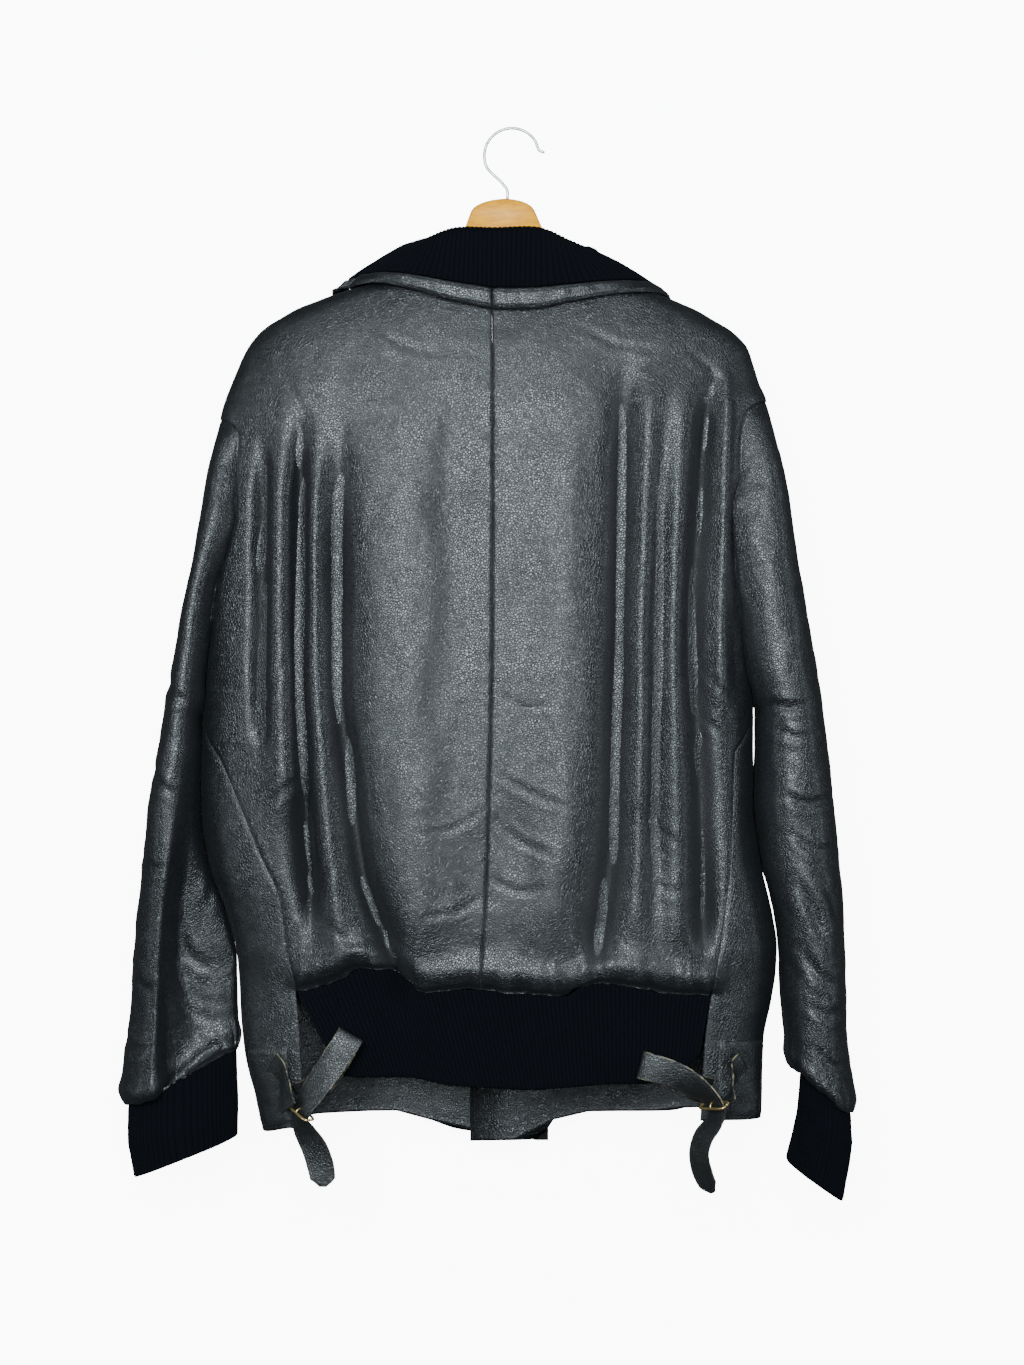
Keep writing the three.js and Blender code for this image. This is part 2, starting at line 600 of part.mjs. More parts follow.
// One sleeve row at a height above the underarm: from the back armhole round to the front one.
function cappedRow(side, z, from, to) {
  const down = (ARM_TOP_Z[side] - z) / (ARM_TOP_Z[side] - UNDERARM_Z[side]);
  const end = Math.PI * mix(0.5, 1, clamp01(down) ** 1.4);
  const line = [];
  for (let k = 0; k <= 120; k += 1) {
    const angle = mix(end, -end, k / 120);
    const p = sleevePoint(side, angle, z);
    const share = Math.abs(angle / end) ** 3;
    const start = angle > 0 ? sub(from, sleevePoint(side, end, z)) : sub(to, sleevePoint(side, -end, z));
    line.push(add(p, times(start, share)));
  }
  return evenly(line, SLEEVE_COLUMNS);
}

// The ring on which a sleeve's hem meets its cuff, by share of the way round from the underarm.
function cuffPoint(side, share, t) {
  const { inner, outer, depth, y } = CUFFS[side];
  const pick = (list, k) => {
    const place = k * 2;
    const first = Math.min(1, Math.floor(place));
    return Array.isArray(list[0])
      ? [0, 1].map((axis) => mix(list[first][axis], list[first + 1][axis], place - first))
      : mix(list[first], list[first + 1], place - first);
  };
  const a = pick(inner, t);
  const b = pick(outer, t);
  const angle = Math.PI * (1 - 2 * share);
  const c = Math.cos(angle);
  const s = Math.sin(angle);
  const across = 0.5 + 0.5 * Math.sign(c) * Math.abs(c) ** 0.8;
  const bulge = Math.sign(s) * Math.abs(s) ** 0.8;
  return [mix(a[0], b[0], across), y - pick(depth, t) * bulge, mix(a[1], b[1], across)];
}

// The hem of the sleeve hangs lower on the outside than at the inner side.
function sleeveHemZ(side, share) {
  const { outer, inner, front } = SLEEVE_HEM[side];
  const angle = Math.PI * (1 - 2 * share);
  const toOuter = 0.5 + 0.5 * Math.cos(angle);
  const toFront = Math.max(0, -Math.sin(angle));
  return mix(mix(inner, outer, smooth(toOuter * 1.2)), front, toFront * 0.6);
}

function sleeveSheet(side) {
  const under = UNDERARM_Z[side];
  const back = backSheets[side];
  const front = frontSheets[side];
  const tops = back.outer.map((row, j) => j).filter((j) => {
    const z = back.outer[j][BACK_COLUMNS - 1][2];
    return z < ARM_TOP_Z[side] - 0.5 && z >= under - 0.5;
  });
  const rows = [];
  const leans = [];
  tops.forEach((j) => {
    const ends = [[back, BACK_COLUMNS - 1], [front, FRONT_COLUMNS - 1]].map(([sheet, i]) => {
      const lean = unit(sub(sheet.outer[j][i], sheet.inner[j][i]));
      const onward = unit(sub(sheet.outer[j][i], sheet.outer[j][i - 1]));
      const lowest = j === tops[tops.length - 1];
      const slanted = j < tops[2] ? 4.5 : 1;
      const aside = lowest ? [0, sheet === back ? -0.9 : 0.9, 0] : times(onward, slanted);
      const beside = add(lean, aside);
      return { lean, at: add(sheet.outer[j][i], times(beside, SEAM_GAP * 0.9)) };
    });
    leans.push(ends.map((e) => e.lean));
    rows.push(cappedRow(side, back.outer[j][BACK_COLUMNS - 1][2], ends[0].at, ends[1].at));
  });
  const below = [0.07, 0.22, 0.45, 0.72, 1].map((k) => mix(under, SLEEVE_STRAIGHT_Z, k));
  const slit = 0.006;
  below.forEach((z) => {
    const line = [];
    for (let k = 0; k <= 120; k += 1) {
      line.push(sleevePoint(side, mix(Math.PI - slit, slit - Math.PI, k / 120), z));
    }
    rows.push(evenly(line, SLEEVE_COLUMNS));
  });
  const last = rows[rows.length - 1];
  const ring = last.map((p, i) => cuffPoint(side, mix(0.003, 0.997, i / (SLEEVE_COLUMNS - 1)), 0));
  const ease = [[0.35, 0], [0.68, 0], [0.9, 0.04], [0.985, 0.3], [1, 1]];
  ease.forEach(([k, tuck]) => {
    rows.push(last.map((p, i) => {
      const share = i / (SLEEVE_COLUMNS - 1);
      const z = mix(SLEEVE_STRAIGHT_Z, sleeveHemZ(side, share), k);
      const wide = sleevePoint(side, Math.PI * (1 - 2 * share), z);
      const own = [mix(p[0], wide[0], k * 0.8), mix(p[1], wide[1], k * 0.8), z];
      return tuck === 1 ? add(ring[i], [0, 0, HALF_GAP]) : mix3(own, ring[i], tuck);
    }));
  });
  const facing = side === "left" ? 1 : -1;
  const inner = inside(rows, LEATHER, facing);
  leans.forEach((pair, j) => {
    [0, SLEEVE_COLUMNS - 1].forEach((i, k) => {
      const own = unit(sub(rows[j][i], inner[j][i]));
      const smoothSeam = j < 2 || dot(own, pair[k]) > 0.8;
      if (smoothSeam) inner[j][i] = sub(rows[j][i], times(pair[k], LEATHER));
    });
  });
  const end = rows.length - 1;
  const cuffMiddle = times(add(cuffPoint(side, 0, 0), cuffPoint(side, 0.5, 0)), 0.5);
  inner[end] = rows[end].map((p) => {
    const inward = unit([cuffMiddle[0] - p[0], cuffMiddle[1] - p[1], 0]);
    return add(p, times(inward, LEATHER));
  });
  return { outer: rows, inner, ring };
}

// A rib-knit cuff: ribs run down its outer face, and its inside is plain.
function cuffGeometry(side, ring) {
  const length = ring.reduce((sum, p, i) => sum + (i ? long(sub(p, ring[i - 1])) : 0), 0);
  const ribs = Math.round(length / RIB_PITCH);
  const levels = [0, 0.12, 0.96, 1];
  const middleOf = (t) => times(add(cuffPoint(side, 0, t), cuffPoint(side, 0.5, t)), 0.5);
  const onRing = (share) => {
    const place = share * (ring.length - 1);
    const k = Math.min(ring.length - 2, Math.floor(place));
    return mix3(ring[k], ring[k + 1], place - k);
  };
  const point = (share, t, out) => {
    const p = t === 0 ? add(onRing(share), [0, 0, -HALF_GAP]) : cuffPoint(side, mix(0.003, 0.997, share), t);
    const m = middleOf(t);
    const away = unit([p[0] - m[0], (p[1] - m[1]) * 1.5, 0]);
    return add(p, times(away, out));
  };
  const outer = levels.map((t) => {
    const lift = t === 0 ? 0 : t === 1 ? 0 : RIB_HEIGHT;
    const row = [];
    for (let i = 0; i < ribs * 2; i += 1) row.push(point(i / (ribs * 2 - 1), t, i % 2 ? lift : 0));
    return row;
  });
  const coarse = ring.length;
  const inner = levels.map((t) => {
    const row = [];
    for (let i = 0; i < coarse; i += 1) row.push(point(i / (coarse - 1), t, -KNIT));
    return row;
  });
  return wall(outer, inner);
}

// The rib-knit waistband across the back, between the side seams.
function waistRibGeometry() {
  const top = [...[...backSheets.left.outer[backSheets.left.outer.length - 1]].reverse(),
    ...backSheets.right.outer[backSheets.right.outer.length - 1]];
  const length = top[top.length - 1][0] - top[0][0];
  const columns = Math.round(length / RIB_PITCH) * 2 + 1;
  const levels = [0, 0.1, 0.96, 1];
  const straight = (x) => {
    let k = 0;
    while (k < top.length - 2 && top[k + 1][0] < x) k += 1;
    return mix3(top[k], top[k + 1], clamp01((x - top[k][0]) / (top[k + 1][0] - top[k][0])));
  };
  const point = (share, t, thick, rib) => {
    const start = straight(mix(top[0][0] + 2 * SEAM_GAP, top[top.length - 1][0] - 2 * SEAM_GAP, share));
    const bottomX = mix(RIB_BOTTOM[0][0], RIB_BOTTOM[RIB_BOTTOM.length - 1][0], share);
    const end = [bottomX, 0, at(RIB_BOTTOM, bottomX)];
    const z = mix(start[2] - SEAM_GAP * 2.6, end[2], t);
    const x = mix(start[0], end[0], t);
    const side = x < at(CENTRE, z) ? "left" : "right";
    const own = bodyPoint(side, turnAt(side, x, z), z)[1];
    const y = mix(start[1], own + 1, smooth(t * 6));
    return [x, y + thick - rib, z];
  };
  const sheet = (count, thick, ribbed) => levels.map((t) => {
    const row = [];
    for (let i = 0; i < count; i += 1) {
      const rib = ribbed && i % 2 && t > 0 && t < 1 ? RIB_HEIGHT : 0;
      row.push(point(i / (count - 1), t, thick, rib));
    }
    return row;
  });
  return wall(sheet(columns, 0, true), sheet(40, KNIT, false));
}

// The collar: it stands up from the neck, folds over and falls on the shoulders. The way is 0 at
// the neck seam, 1 at the fold and 2 at the outer edge.
function collarPoint(side, turn, way) {
  const neck = neckRim(side, turn);
  const fold = splinePoint(COLLAR_FOLD[side], turn / 2);
  if (way <= 1) {
    const k = way;
    const bow = Math.sin(Math.PI * k) * 1.5;
    const p = mix3(neck, fold, k);
    const inward = unit([at(CENTRE, p[2]) - p[0], -p[1], 0]);
    const settle = k > 0.85 ? 0 : 1;
    return add(p, times(inward, -bow * settle));
  }
  const k = way - 1;
  const edgeX = at(COLLAR_EDGE[side].map(([t, x]) => [t, x]), turn);
  const edgeZ = at(COLLAR_EDGE[side].map(([t, , z]) => [t, z]), turn);
  const rests = clearOfBody(side, [edgeX, turn < 1 ? -0.01 : 0.01, edgeZ], 0);
  const over = Math.exp(-(((turn - 1) / 0.22) ** 2));
  const edge = add(rests, [0, (turn < 1 ? -6 : 6) * smooth(Math.abs(turn - 1) * 4), 5 * over]);
  const bend = add(mix3(fold, edge, 0.42), [
    sideSign[side] * 2 * over, (turn < 1 ? -COLLAR_BULGE : COLLAR_BULGE) * (1 - over), COLLAR_BULGE * over,
  ]);
  return clearOfBody(side, mix3(mix3(fold, bend, k), mix3(bend, edge, k), k), smooth(k * 6) * COLLAR_CLEAR);
}

// Moves a point of the collar out to where it lies clear of the shoulder.
function clearOfBody(side, p, clear) {
  const half = Math.abs(at(edgeTable[side], p[2]) - at(CENTRE, p[2]));
  const off = Math.abs(p[0] - at(CENTRE, p[2]));
  if (p[2] > edgeTable[side][0][0] || off >= half) return p;
  const front = p[1] > 0;
  const surface = Math.abs(bodyPoint(side, turnAt(side, p[0], p[2], front), p[2])[1]) + clear;
  const y = Math.max(Math.abs(p[1]), surface);
  return [p[0], front ? y : -y, p[2]];
}

// The inner rim of the body at the neck, where the collar is sewn on.
function neckRim(side, turn) {
  const back = turn <= 1;
  const sheet = back ? backSheets[side] : frontSheets[side];
  const row = back ? sheet.outer[0] : sheet.neck;
  const place = (back ? turn : 2 - turn) * (row.length - 1);
  const k = Math.min(row.length - 2, Math.floor(place));
  const outer = mix3(row[k], row[k + 1], place - k);
  const leanAt = (column) => sub(sheet.inner[0][column], sheet.outer[0][column]);
  const lean = mix3(leanAt(k), leanAt(k + 1), place - k);
  const top = back ? outer[2] : Math.max(outer[2], frontTopZ("left", outer[0]), frontTopZ("right", outer[0]));
  const rim = [outer[0] + lean[0], outer[1] + lean[1], top + Math.max(0, lean[2]) + SEAM_GAP * 2];
  if (back) return rim;
  const away = unit(sub(sheet.outer[0][k], sheet.outer[1][k]));
  return add(rim, times(away, KNIT * 1.75 * smooth((turn - 1) * 9)));
}

// How high a front's own top edge stands at a place across, where it has been lapped.
function frontTopZ(side, x) {
  const row = frontSheets[side].outer[0];
  for (let i = 0; i + 1 < row.length; i += 1) {
    const k = (x - row[i][0]) / (row[i + 1][0] - row[i][0]);
    if (k >= 0 && k <= 1) return mix(row[i][2], row[i + 1][2], k);
  }
  return -Infinity;
}

function collarSheets(sides, waysKnit, columnsPerSide) {
  const columns = [];
  sides.forEach((side) => {
    const list = [];
    for (let i = 0; i < columnsPerSide; i += 1) {
      list.push({ side, turn: COLLAR_END * (i / (columnsPerSide - 1)) });
    }
    columns.push(...(side === "left" ? list.reverse() : list.slice(sides.length > 1 ? 1 : 0)));
  });
  return waysKnit.map((way) => columns.map((c) => collarPoint(c.side, c.turn, way)));
}

function collarKnitGeometry() {
  const ways = [0, 0.85, 1, 1.1, 1.4, 1 + BAND_STARTS];
  const plain = collarSheets(["left", "right"], ways, COLLAR_COLUMNS);
  const fine = collarSheets(["left", "right"], ways, COLLAR_RIBS_PER_SIDE * 2 + 1);
  const last = ways.length - 1;
  [0, last].forEach((j) => {
    fine[j] = fine[j].map((p, i) => {
      const place = (i / (fine[j].length - 1)) * (plain[j].length - 1);
      const k = Math.min(plain[j].length - 2, Math.floor(place));
      return mix3(plain[j][k], plain[j][k + 1], place - k);
    });
  });
  const n = normals(fine, -1);
  const outer = fine.map((row, j) => row.map((p, i) => {
    const raised = i % 2 && j > 0 && j < ways.length - 1 ? RIB_HEIGHT : 0;
    return add(p, times(n[j][i], raised));
  }));
  return wall(outer, inside(plain, KNIT, -1));
}

function collarBandGeometry(side) {
  const ways = [1 + BAND_STARTS + 0.014, 1 + (1 + BAND_STARTS) / 2, 2];
  const sheet = ways.map((way) => {
    const row = [];
    for (let i = 0; i < COLLAR_COLUMNS; i += 1) {
      row.push(collarPoint(side, Math.max(0.004, (COLLAR_END * i) / (COLLAR_COLUMNS - 1)), way));
    }
    return row;
  });
  return wall(sheet, inside(sheet, KNIT, side === "left" ? 1 : -1));
}

// A strap's stations with one more between each two, so that it twists a little at a time.
function betweenStations(stations, wide, steps) {
  const points = stations.map((s) => s.at);
  const last = (stations.length - 1) * steps;
  return Array.from({ length: last + 1 }, (_, k) => {
    const a = stations[Math.floor(k / steps)];
    const b = stations[Math.ceil(k / steps)];
    const share = (k % steps) / steps;
    return {
      at: splinePoint(points, k / last),
      across: mix3(unit(a.across), unit(b.across), share),
      wide: mix(a.wide ?? wide, b.wide ?? wide, share),
    };
  });
}

// A flat strap along hand-set points, with the direction of its width at each.
function ribbon(stations, wide, thick, steps) {
  const path = betweenStations(stations, wide, steps);
  const n = path.length;
  const points = path.map((s) => s.at);
  const rows = path.map((s, k) => {
    const along = unit(sub(points[Math.min(k + 1, n - 1)], points[Math.max(k - 1, 0)]));
    const across = unit(sub(s.across, times(along, dot(s.across, along))));
    const up = cross(along, across);
    const half = s.wide / 2;
    const corner = (a, b) => add(s.at, add(times(across, a * half), times(up, (b * thick) / 2)));
    return [corner(-1, -1), corner(1, -1), corner(1, 1), corner(-1, 1)];
  });
  const all = rows.flat();
  const faces = [[0, 1, 2], [0, 2, 3]];
  for (let k = 0; k + 1 < n; k += 1) {
    for (let c = 0; c < 4; c += 1) {
      const a = k * 4 + c;
      const b = k * 4 + ((c + 1) % 4);
      faces.push([a, a + 4, b], [b, a + 4, b + 4]);
    }
  }
  const e = (n - 1) * 4;
  faces.push([e, e + 2, e + 1], [e, e + 3, e + 2]);
  return solid(all, faces);
}

// The wooden hanger: arms that carry the shoulders, and a neck that rises through the collar.
function hangerShape() {
  const line = (side) => backSheets[side].outer.map((row, j) => j).filter((j) =>
    backSheets[side].outer[j][BACK_COLUMNS - 1][2] > ARM_ENDS_Z).map((j) => {
    const outer = backSheets[side].outer[j][BACK_COLUMNS - 1];
    const inner = backSheets[side].inner[j][BACK_COLUMNS - 1];
    const under = add(inner, times(unit(sub(inner, outer)), j === 0 ? ARM_DROP * 4 : ARM_DROP));
    return [under[0], under[2]];
  });
  const left = line("left");
  const right = line("right");
  const leftEnd = left[left.length - 1];
  const rightEnd = right[right.length - 1];
  const shape = new THREE.Shape();
  shape.moveTo(-42, -88);
  shape.lineTo(-36, -72);
  shape.quadraticCurveTo(-28, -63, -6, -62);
  shape.quadraticCurveTo(14, -63, 20, -72);
  shape.lineTo(27, -88);
  shape.quadraticCurveTo(36, -125, 80, right[0][1]);
  right.slice(1).forEach(([x, z]) => shape.lineTo(x, z));
  shape.quadraticCurveTo(rightEnd[0] + 3, rightEnd[1] - 12, rightEnd[0] - 12, rightEnd[1] - 16);
  shape.lineTo(120, right[0][1] - ARM_DEEP - 22);
  shape.quadraticCurveTo(-8, -118 - ARM_DEEP, -140, left[0][1] - ARM_DEEP - 20);
  shape.lineTo(leftEnd[0] + 12, leftEnd[1] - 16);
  shape.quadraticCurveTo(leftEnd[0] - 3, leftEnd[1] - 12, leftEnd[0], leftEnd[1]);
  [...left].reverse().slice(1).forEach(([x, z]) => shape.lineTo(x, z));
  shape.quadraticCurveTo(-60, -125, -42, -88);
  return shape;
}

function hangerGeometry() {
  const bevel = 3;
  const geometry = new THREE.ExtrudeGeometry(hangerShape(), {
    depth: HANGER_THICK - 2 * bevel, bevelEnabled: true, bevelThickness: bevel, bevelSize: bevel,
    bevelOffset: -bevel, bevelSegments: 1, curveSegments: 4,
  });
  geometry.translate(0, 0, -HANGER_THICK / 2 + bevel);
  geometry.rotateX(Math.PI / 2);
  return geometry;
}

// The wire hook: an open ring whose inside top is the origin, and a stem into the wood.
function hookGeometry() {
  const middle = new THREE.Vector3(0, 0, -HOOK_RADIUS);
  const reach = HOOK_RADIUS + WIRE / 2;
  const points = [];
  for (let k = 0; k <= 9; k += 1) {
    const angle = mix(0.22, Math.PI * 1.14, k / 9);
    points.push(new THREE.Vector3(Math.cos(angle) * reach, 0, Math.sin(angle) * reach).add(middle));
  }
  points.unshift(new THREE.Vector3(29, 0, -20.5));
  const stem = [[-9, 0, -47], [-4.2, 0, -54], [-4, 0, -61.4]];
  points.push(...stem.map((p) => new THREE.Vector3(...p)));
  const section = new THREE.Shape();
  section.absarc(0, 0, WIRE / 2, 0, Math.PI * 2);
  return new THREE.ExtrudeGeometry(section, {
    steps: 24, curveSegments: 2, bevelEnabled: false,
    extrudePath: new THREE.CatmullRomCurve3(points, false, "centripetal"),
  });
}

const finish = {
  leather: new THREE.MeshStandardMaterial({ color: 0x17181c, roughness: 0.42 }),
  knit: new THREE.MeshStandardMaterial({ color: 0x0b0d12, roughness: 0.95 }),
  brass: new THREE.MeshStandardMaterial({ color: 0xb08d4a, roughness: 0.35, metalness: 1 }),
  wood: new THREE.MeshStandardMaterial({ color: 0xd98a35, roughness: 0.55 }),
  chrome: new THREE.MeshStandardMaterial({ color: 0xb8bcc0, roughness: 0.25, metalness: 1 }),
  button: new THREE.MeshStandardMaterial({ color: 0x121212, roughness: 0.4 }),
};

const jacket = new THREE.Group();

function place(name, geometry, material) {
  const mesh = new THREE.Mesh(geometry, material);
  mesh.name = name;
  jacket.add(mesh);
  return mesh;
}

["left", "right"].forEach((side) => {
  backSheets[side] = backSheet(side);
  frontSheets[side] = frontSheet(side);
  const seamRows = backSheets[side].outer.map((row, j) => j).filter((j) => {
    const z = backSheets[side].outer[j][BACK_COLUMNS - 1][2];
    return z > ARM_TOP_Z[side] - 0.5 || z < UNDERARM_Z[side] - 0.5;
  });
  joinRims(backSheets[side], BACK_COLUMNS - 1, frontSheets[side], FRONT_COLUMNS - 1, seamRows);
});
joinRims(backSheets.left, 0, backSheets.right, 0, backSheets.left.outer.map((row, j) => j));

["left", "right"].forEach((side) => {
  place(`back_${side}`, wall(backSheets[side].outer, backSheets[side].inner), finish.leather);
  place(`front_${side}`, wall(frontSheets[side].outer, frontSheets[side].inner), finish.leather);
  const sleeve = sleeveSheet(side);
  place(`sleeve_${side}`, wall(sleeve.outer, sleeve.inner), finish.leather);
  place(`cuff_${side}`, cuffGeometry(side, sleeve.ring), finish.knit);
});
place("waist_rib", waistRibGeometry(), finish.knit);
place("collar_knit", collarKnitGeometry(), finish.knit);
["left", "right"].forEach((side) => place(`collar_band_${side}`, collarBandGeometry(side), finish.leather));
place("hanger_wood", hangerGeometry(), finish.wood);
place("hanger_hook", hookGeometry(), finish.chrome);

// A point on the body's outer surface at a place across and a height, moved out from it.
function onBody(side, x, z, out, front = false) {
  const turn = turnAt(side, x, z, front);
  const p = bodyPoint(side, turn, z);
  const along = sub(bodyPoint(side, turn + 0.01, z), bodyPoint(side, turn - 0.01, z));
  const normal = unit([along[1], -along[0], 0]);
  return add(p, times(normal, out * sideSign[side]));
}

// The hem patch lies on the front's own grid, moved out.
function hemPatchGeometry(side) {
  const { outer, inner } = frontSheets[side];
  const n = outer.length;
  const columns = [FRONT_COLUMNS - 5, FRONT_COLUMNS - 4, FRONT_COLUMNS - 3, FRONT_COLUMNS - 2];
  const sheet = (out) => [n - 4, n - 3, n - 2].map((j) => columns.map((i) => {
    const lean = unit(sub(outer[j][i], inner[j][i]));
    return add(outer[j][i], times(lean, out));
  }));
  return wall(sheet(SEAM_GAP + LEATHER), sheet(SEAM_GAP));
}

function through(side) {
  const path = LONG_STRAP[side];
  const middle = BUCKLE[side].at;
  const nearest = path.map((s, k) => [long(sub(s.at, middle)), k]).sort((a, b) => a[0] - b[0])[0][1];
  return unit(sub(path[nearest + 1].at, path[nearest - 1].at));
}

function buckleGeometry(side) {
  const [w, h] = BUCKLE_INNER;
  const outline = (target, a, b) => {
    target.moveTo(-a, -b);
    target.lineTo(a, -b);
    target.lineTo(a, b);
    target.lineTo(-a, b);
    target.closePath();
    return target;
  };
  const shape = outline(new THREE.Shape(), w / 2 + BUCKLE_BAR, h / 2 + BUCKLE_BAR);
  shape.holes.push(outline(new THREE.Path(), w / 2, h / 2));
  const geometry = new THREE.ExtrudeGeometry(shape, { depth: BUCKLE_BAR, bevelEnabled: false });
  geometry.translate(0, 0, -BUCKLE_BAR / 2);
  const way = new THREE.Vector3(...through(side));
  const across = new THREE.Vector3(...BUCKLE[side].across);
  across.addScaledVector(way, -across.dot(way)).normalize();
  const up = new THREE.Vector3().crossVectors(way, across);
  geometry.applyMatrix4(new THREE.Matrix4().makeBasis(across, up, way));
  geometry.translate(...BUCKLE[side].at);
  return geometry;
}

function shortStrapGeometry(side) {
  const [x, z] = SHORT_STRAP_START[side];
  const start = onBody(side, x, z, SEAM_GAP * 5.5 + LEATHER + STRAP / 2);
  const lifted = onBody(side, x - sideSign[side] * 9, z - 8, 9);
  const { at: middle, across } = BUCKLE[side];
  const out = unit([sideSign[side], -0.2, 0.3]);
  const end = add(middle, times(out, BUCKLE_INNER[1] / 2 + BUCKLE_BAR + SHORT_STRAP_REACH[side]));
  return ribbon([
    { at: start, across: [0, 0, 1] },
    { at: lifted, across: [0, 0, 1] },
    { at: mix3(lifted, end, 0.55), across: SHORT_STRAP_TWIST[side] },
    { at: end, across },
  ], STRAP_WIDE * 0.8, STRAP, SHORT_STRAP_STEPS);
}

["left", "right"].forEach((side) => {
  place(`hem_patch_${side}`, hemPatchGeometry(side), finish.leather);
  place(`strap_${side}`, ribbon(LONG_STRAP[side], STRAP_WIDE, STRAP, STRAP_STEPS), finish.leather);
  place(`buckle_${side}`, buckleGeometry(side), finish.brass);
  place(`buckle_strap_${side}`, shortStrapGeometry(side), finish.leather);
});

// Buttons on the outside of the left front.
BUTTON_HEIGHTS.forEach((z, k) => {
  const disc = new THREE.CylinderGeometry(BUTTON_RADIUS, BUTTON_RADIUS, BUTTON_THICK, BUTTON_SIDES);
  const surface = Math.max(...[-1, 0, 1].map((k) => bodyPoint("left", 2, z + k * BUTTON_RADIUS)[1]));
  const mesh = place(`button_${k + 1}`, disc, finish.button);
  mesh.position.set(BUTTON_X, surface + BUTTON_THICK / 2 + SEAM_GAP + BUTTON_CLEAR, z);
});

export default jacket;
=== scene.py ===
"""A worn black leather jacket on a wooden hanger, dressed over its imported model.

The jacket hangs with its back towards -Y. All shapes are worked out in millimetres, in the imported
model's own frame, and turned to metres when a mesh is made.
"""

from __future__ import annotations

import logging
import math
from dataclasses import dataclass, field
from enum import Enum
from functools import cached_property

import bmesh
import bpy
import numpy as np
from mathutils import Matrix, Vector


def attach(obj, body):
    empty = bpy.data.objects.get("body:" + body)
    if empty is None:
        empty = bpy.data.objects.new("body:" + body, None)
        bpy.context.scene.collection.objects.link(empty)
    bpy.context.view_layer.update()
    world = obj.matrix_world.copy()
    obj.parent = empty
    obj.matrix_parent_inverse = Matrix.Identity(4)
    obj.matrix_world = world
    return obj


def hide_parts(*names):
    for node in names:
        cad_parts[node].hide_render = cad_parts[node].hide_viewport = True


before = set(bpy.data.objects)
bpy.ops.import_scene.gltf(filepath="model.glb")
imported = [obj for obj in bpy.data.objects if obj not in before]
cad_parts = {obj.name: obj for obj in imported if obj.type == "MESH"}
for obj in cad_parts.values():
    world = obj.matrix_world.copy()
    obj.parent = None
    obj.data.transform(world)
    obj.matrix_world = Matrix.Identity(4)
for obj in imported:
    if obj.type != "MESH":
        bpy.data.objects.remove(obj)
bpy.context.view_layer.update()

LOG = logging.getLogger("jacket")
BODY = "root"
MM = 0.001
LEATHER = 1.4
KNIT = 2.2
STRAP = 2.0
# Allowances by which a modelled sheet is taken to have been cut larger.
PANEL_SLACK_WIDE = 1.12
PANEL_SLACK_LONG = 1.02
SLEEVE_CUT_LONG = 0.62
SLEEVE_HANGS = 0.6
SLACK = 1.15


class Side(Enum):
    """A side of the jacket as the picture shows it."""

    LEFT = "left"
    RIGHT = "right"

    @property
    def sign(self) -> float:
        """Return -1 for the left side and 1 for the right."""
        return -1.0 if self is Side.LEFT else 1.0


class Slot(Enum):
    """The material slots of the record."""

    LEATHER = "leather"
    STRAP = "strap_leather"
    KNIT = "rib_knit"
    BRASS = "brass"
    BUTTON = "button"
    WOOD = "wood"
    CHROME = "chrome"


def mix(a: np.ndarray, b: np.ndarray, k: np.ndarray) -> np.ndarray:
    """Return the value that lies a share k of the way from a to b."""
    return a + (b - a) * k


def smooth(k: np.ndarray) -> np.ndarray:
    """Return a soft step of k from 0 to 1."""
    held = np.clip(k, 0.0, 1.0)
    return held * held * (3.0 - 2.0 * held)


def unit(vectors: np.ndarray) -> np.ndarray:
    """Return vectors of length one along the last axis."""
    size = np.linalg.norm(vectors, axis=-1, keepdims=True)
    return vectors / np.maximum(size, 1e-9)


def points_of(x: np.ndarray, y: np.ndarray, z: np.ndarray) -> np.ndarray:
    """Return one array of points from three arrays of coordinates."""
    return np.stack(np.broadcast_arrays(x, y, z), axis=-1).astype(float)


@dataclass(frozen=True)
class Table:
    """A smooth curve through pairs of place and value that never overshoots them."""

    rows: tuple[tuple[float, float], ...]

    @cached_property
    def knots(self) -> tuple[np.ndarray, np.ndarray, np.ndarray]:
        """Return the places in rising order, their values and the slopes there.

        Returns:
            The places, the values and the slopes.
        """
        ordered = sorted(self.rows)
        x = np.array([row[0] for row in ordered], float)
        y = np.array([row[1] for row in ordered], float)
        slope = np.diff(y) / np.diff(x)
        tangent = np.empty_like(x)
        tangent[0] = slope[0]
        tangent[-1] = slope[-1]
        product = slope[:-1] * slope[1:]
        total = slope[:-1] + slope[1:]
        safe = np.where(product > 0.0, total, 1.0)
        tangent[1:-1] = np.where(product > 0.0, 2.0 * product / safe, 0.0)
        return x, y, tangent

    def at(self, place: np.ndarray) -> np.ndarray:
        """Return the curve's value at each place, held at the ends.

        Args:
            place: The places to look up.

        Returns:
            One value for each place.
        """
        x, y, tangent = self.knots
        held = np.clip(np.asarray(place, float), x[0], x[-1])
        k = np.clip(np.searchsorted(x, held, side="right") - 1, 0, len(x) - 2)
        wide = x[k + 1] - x[k]
        t = (held - x[k]) / wide
        start = y[k] * (2 * t**3 - 3 * t**2 + 1) + tangent[k] * wide * (t**3 - 2 * t**2 + t)
        return start + y[k + 1] * (3 * t**2 - 2 * t**3) + tangent[k + 1] * wide * (t**3 - t**2)


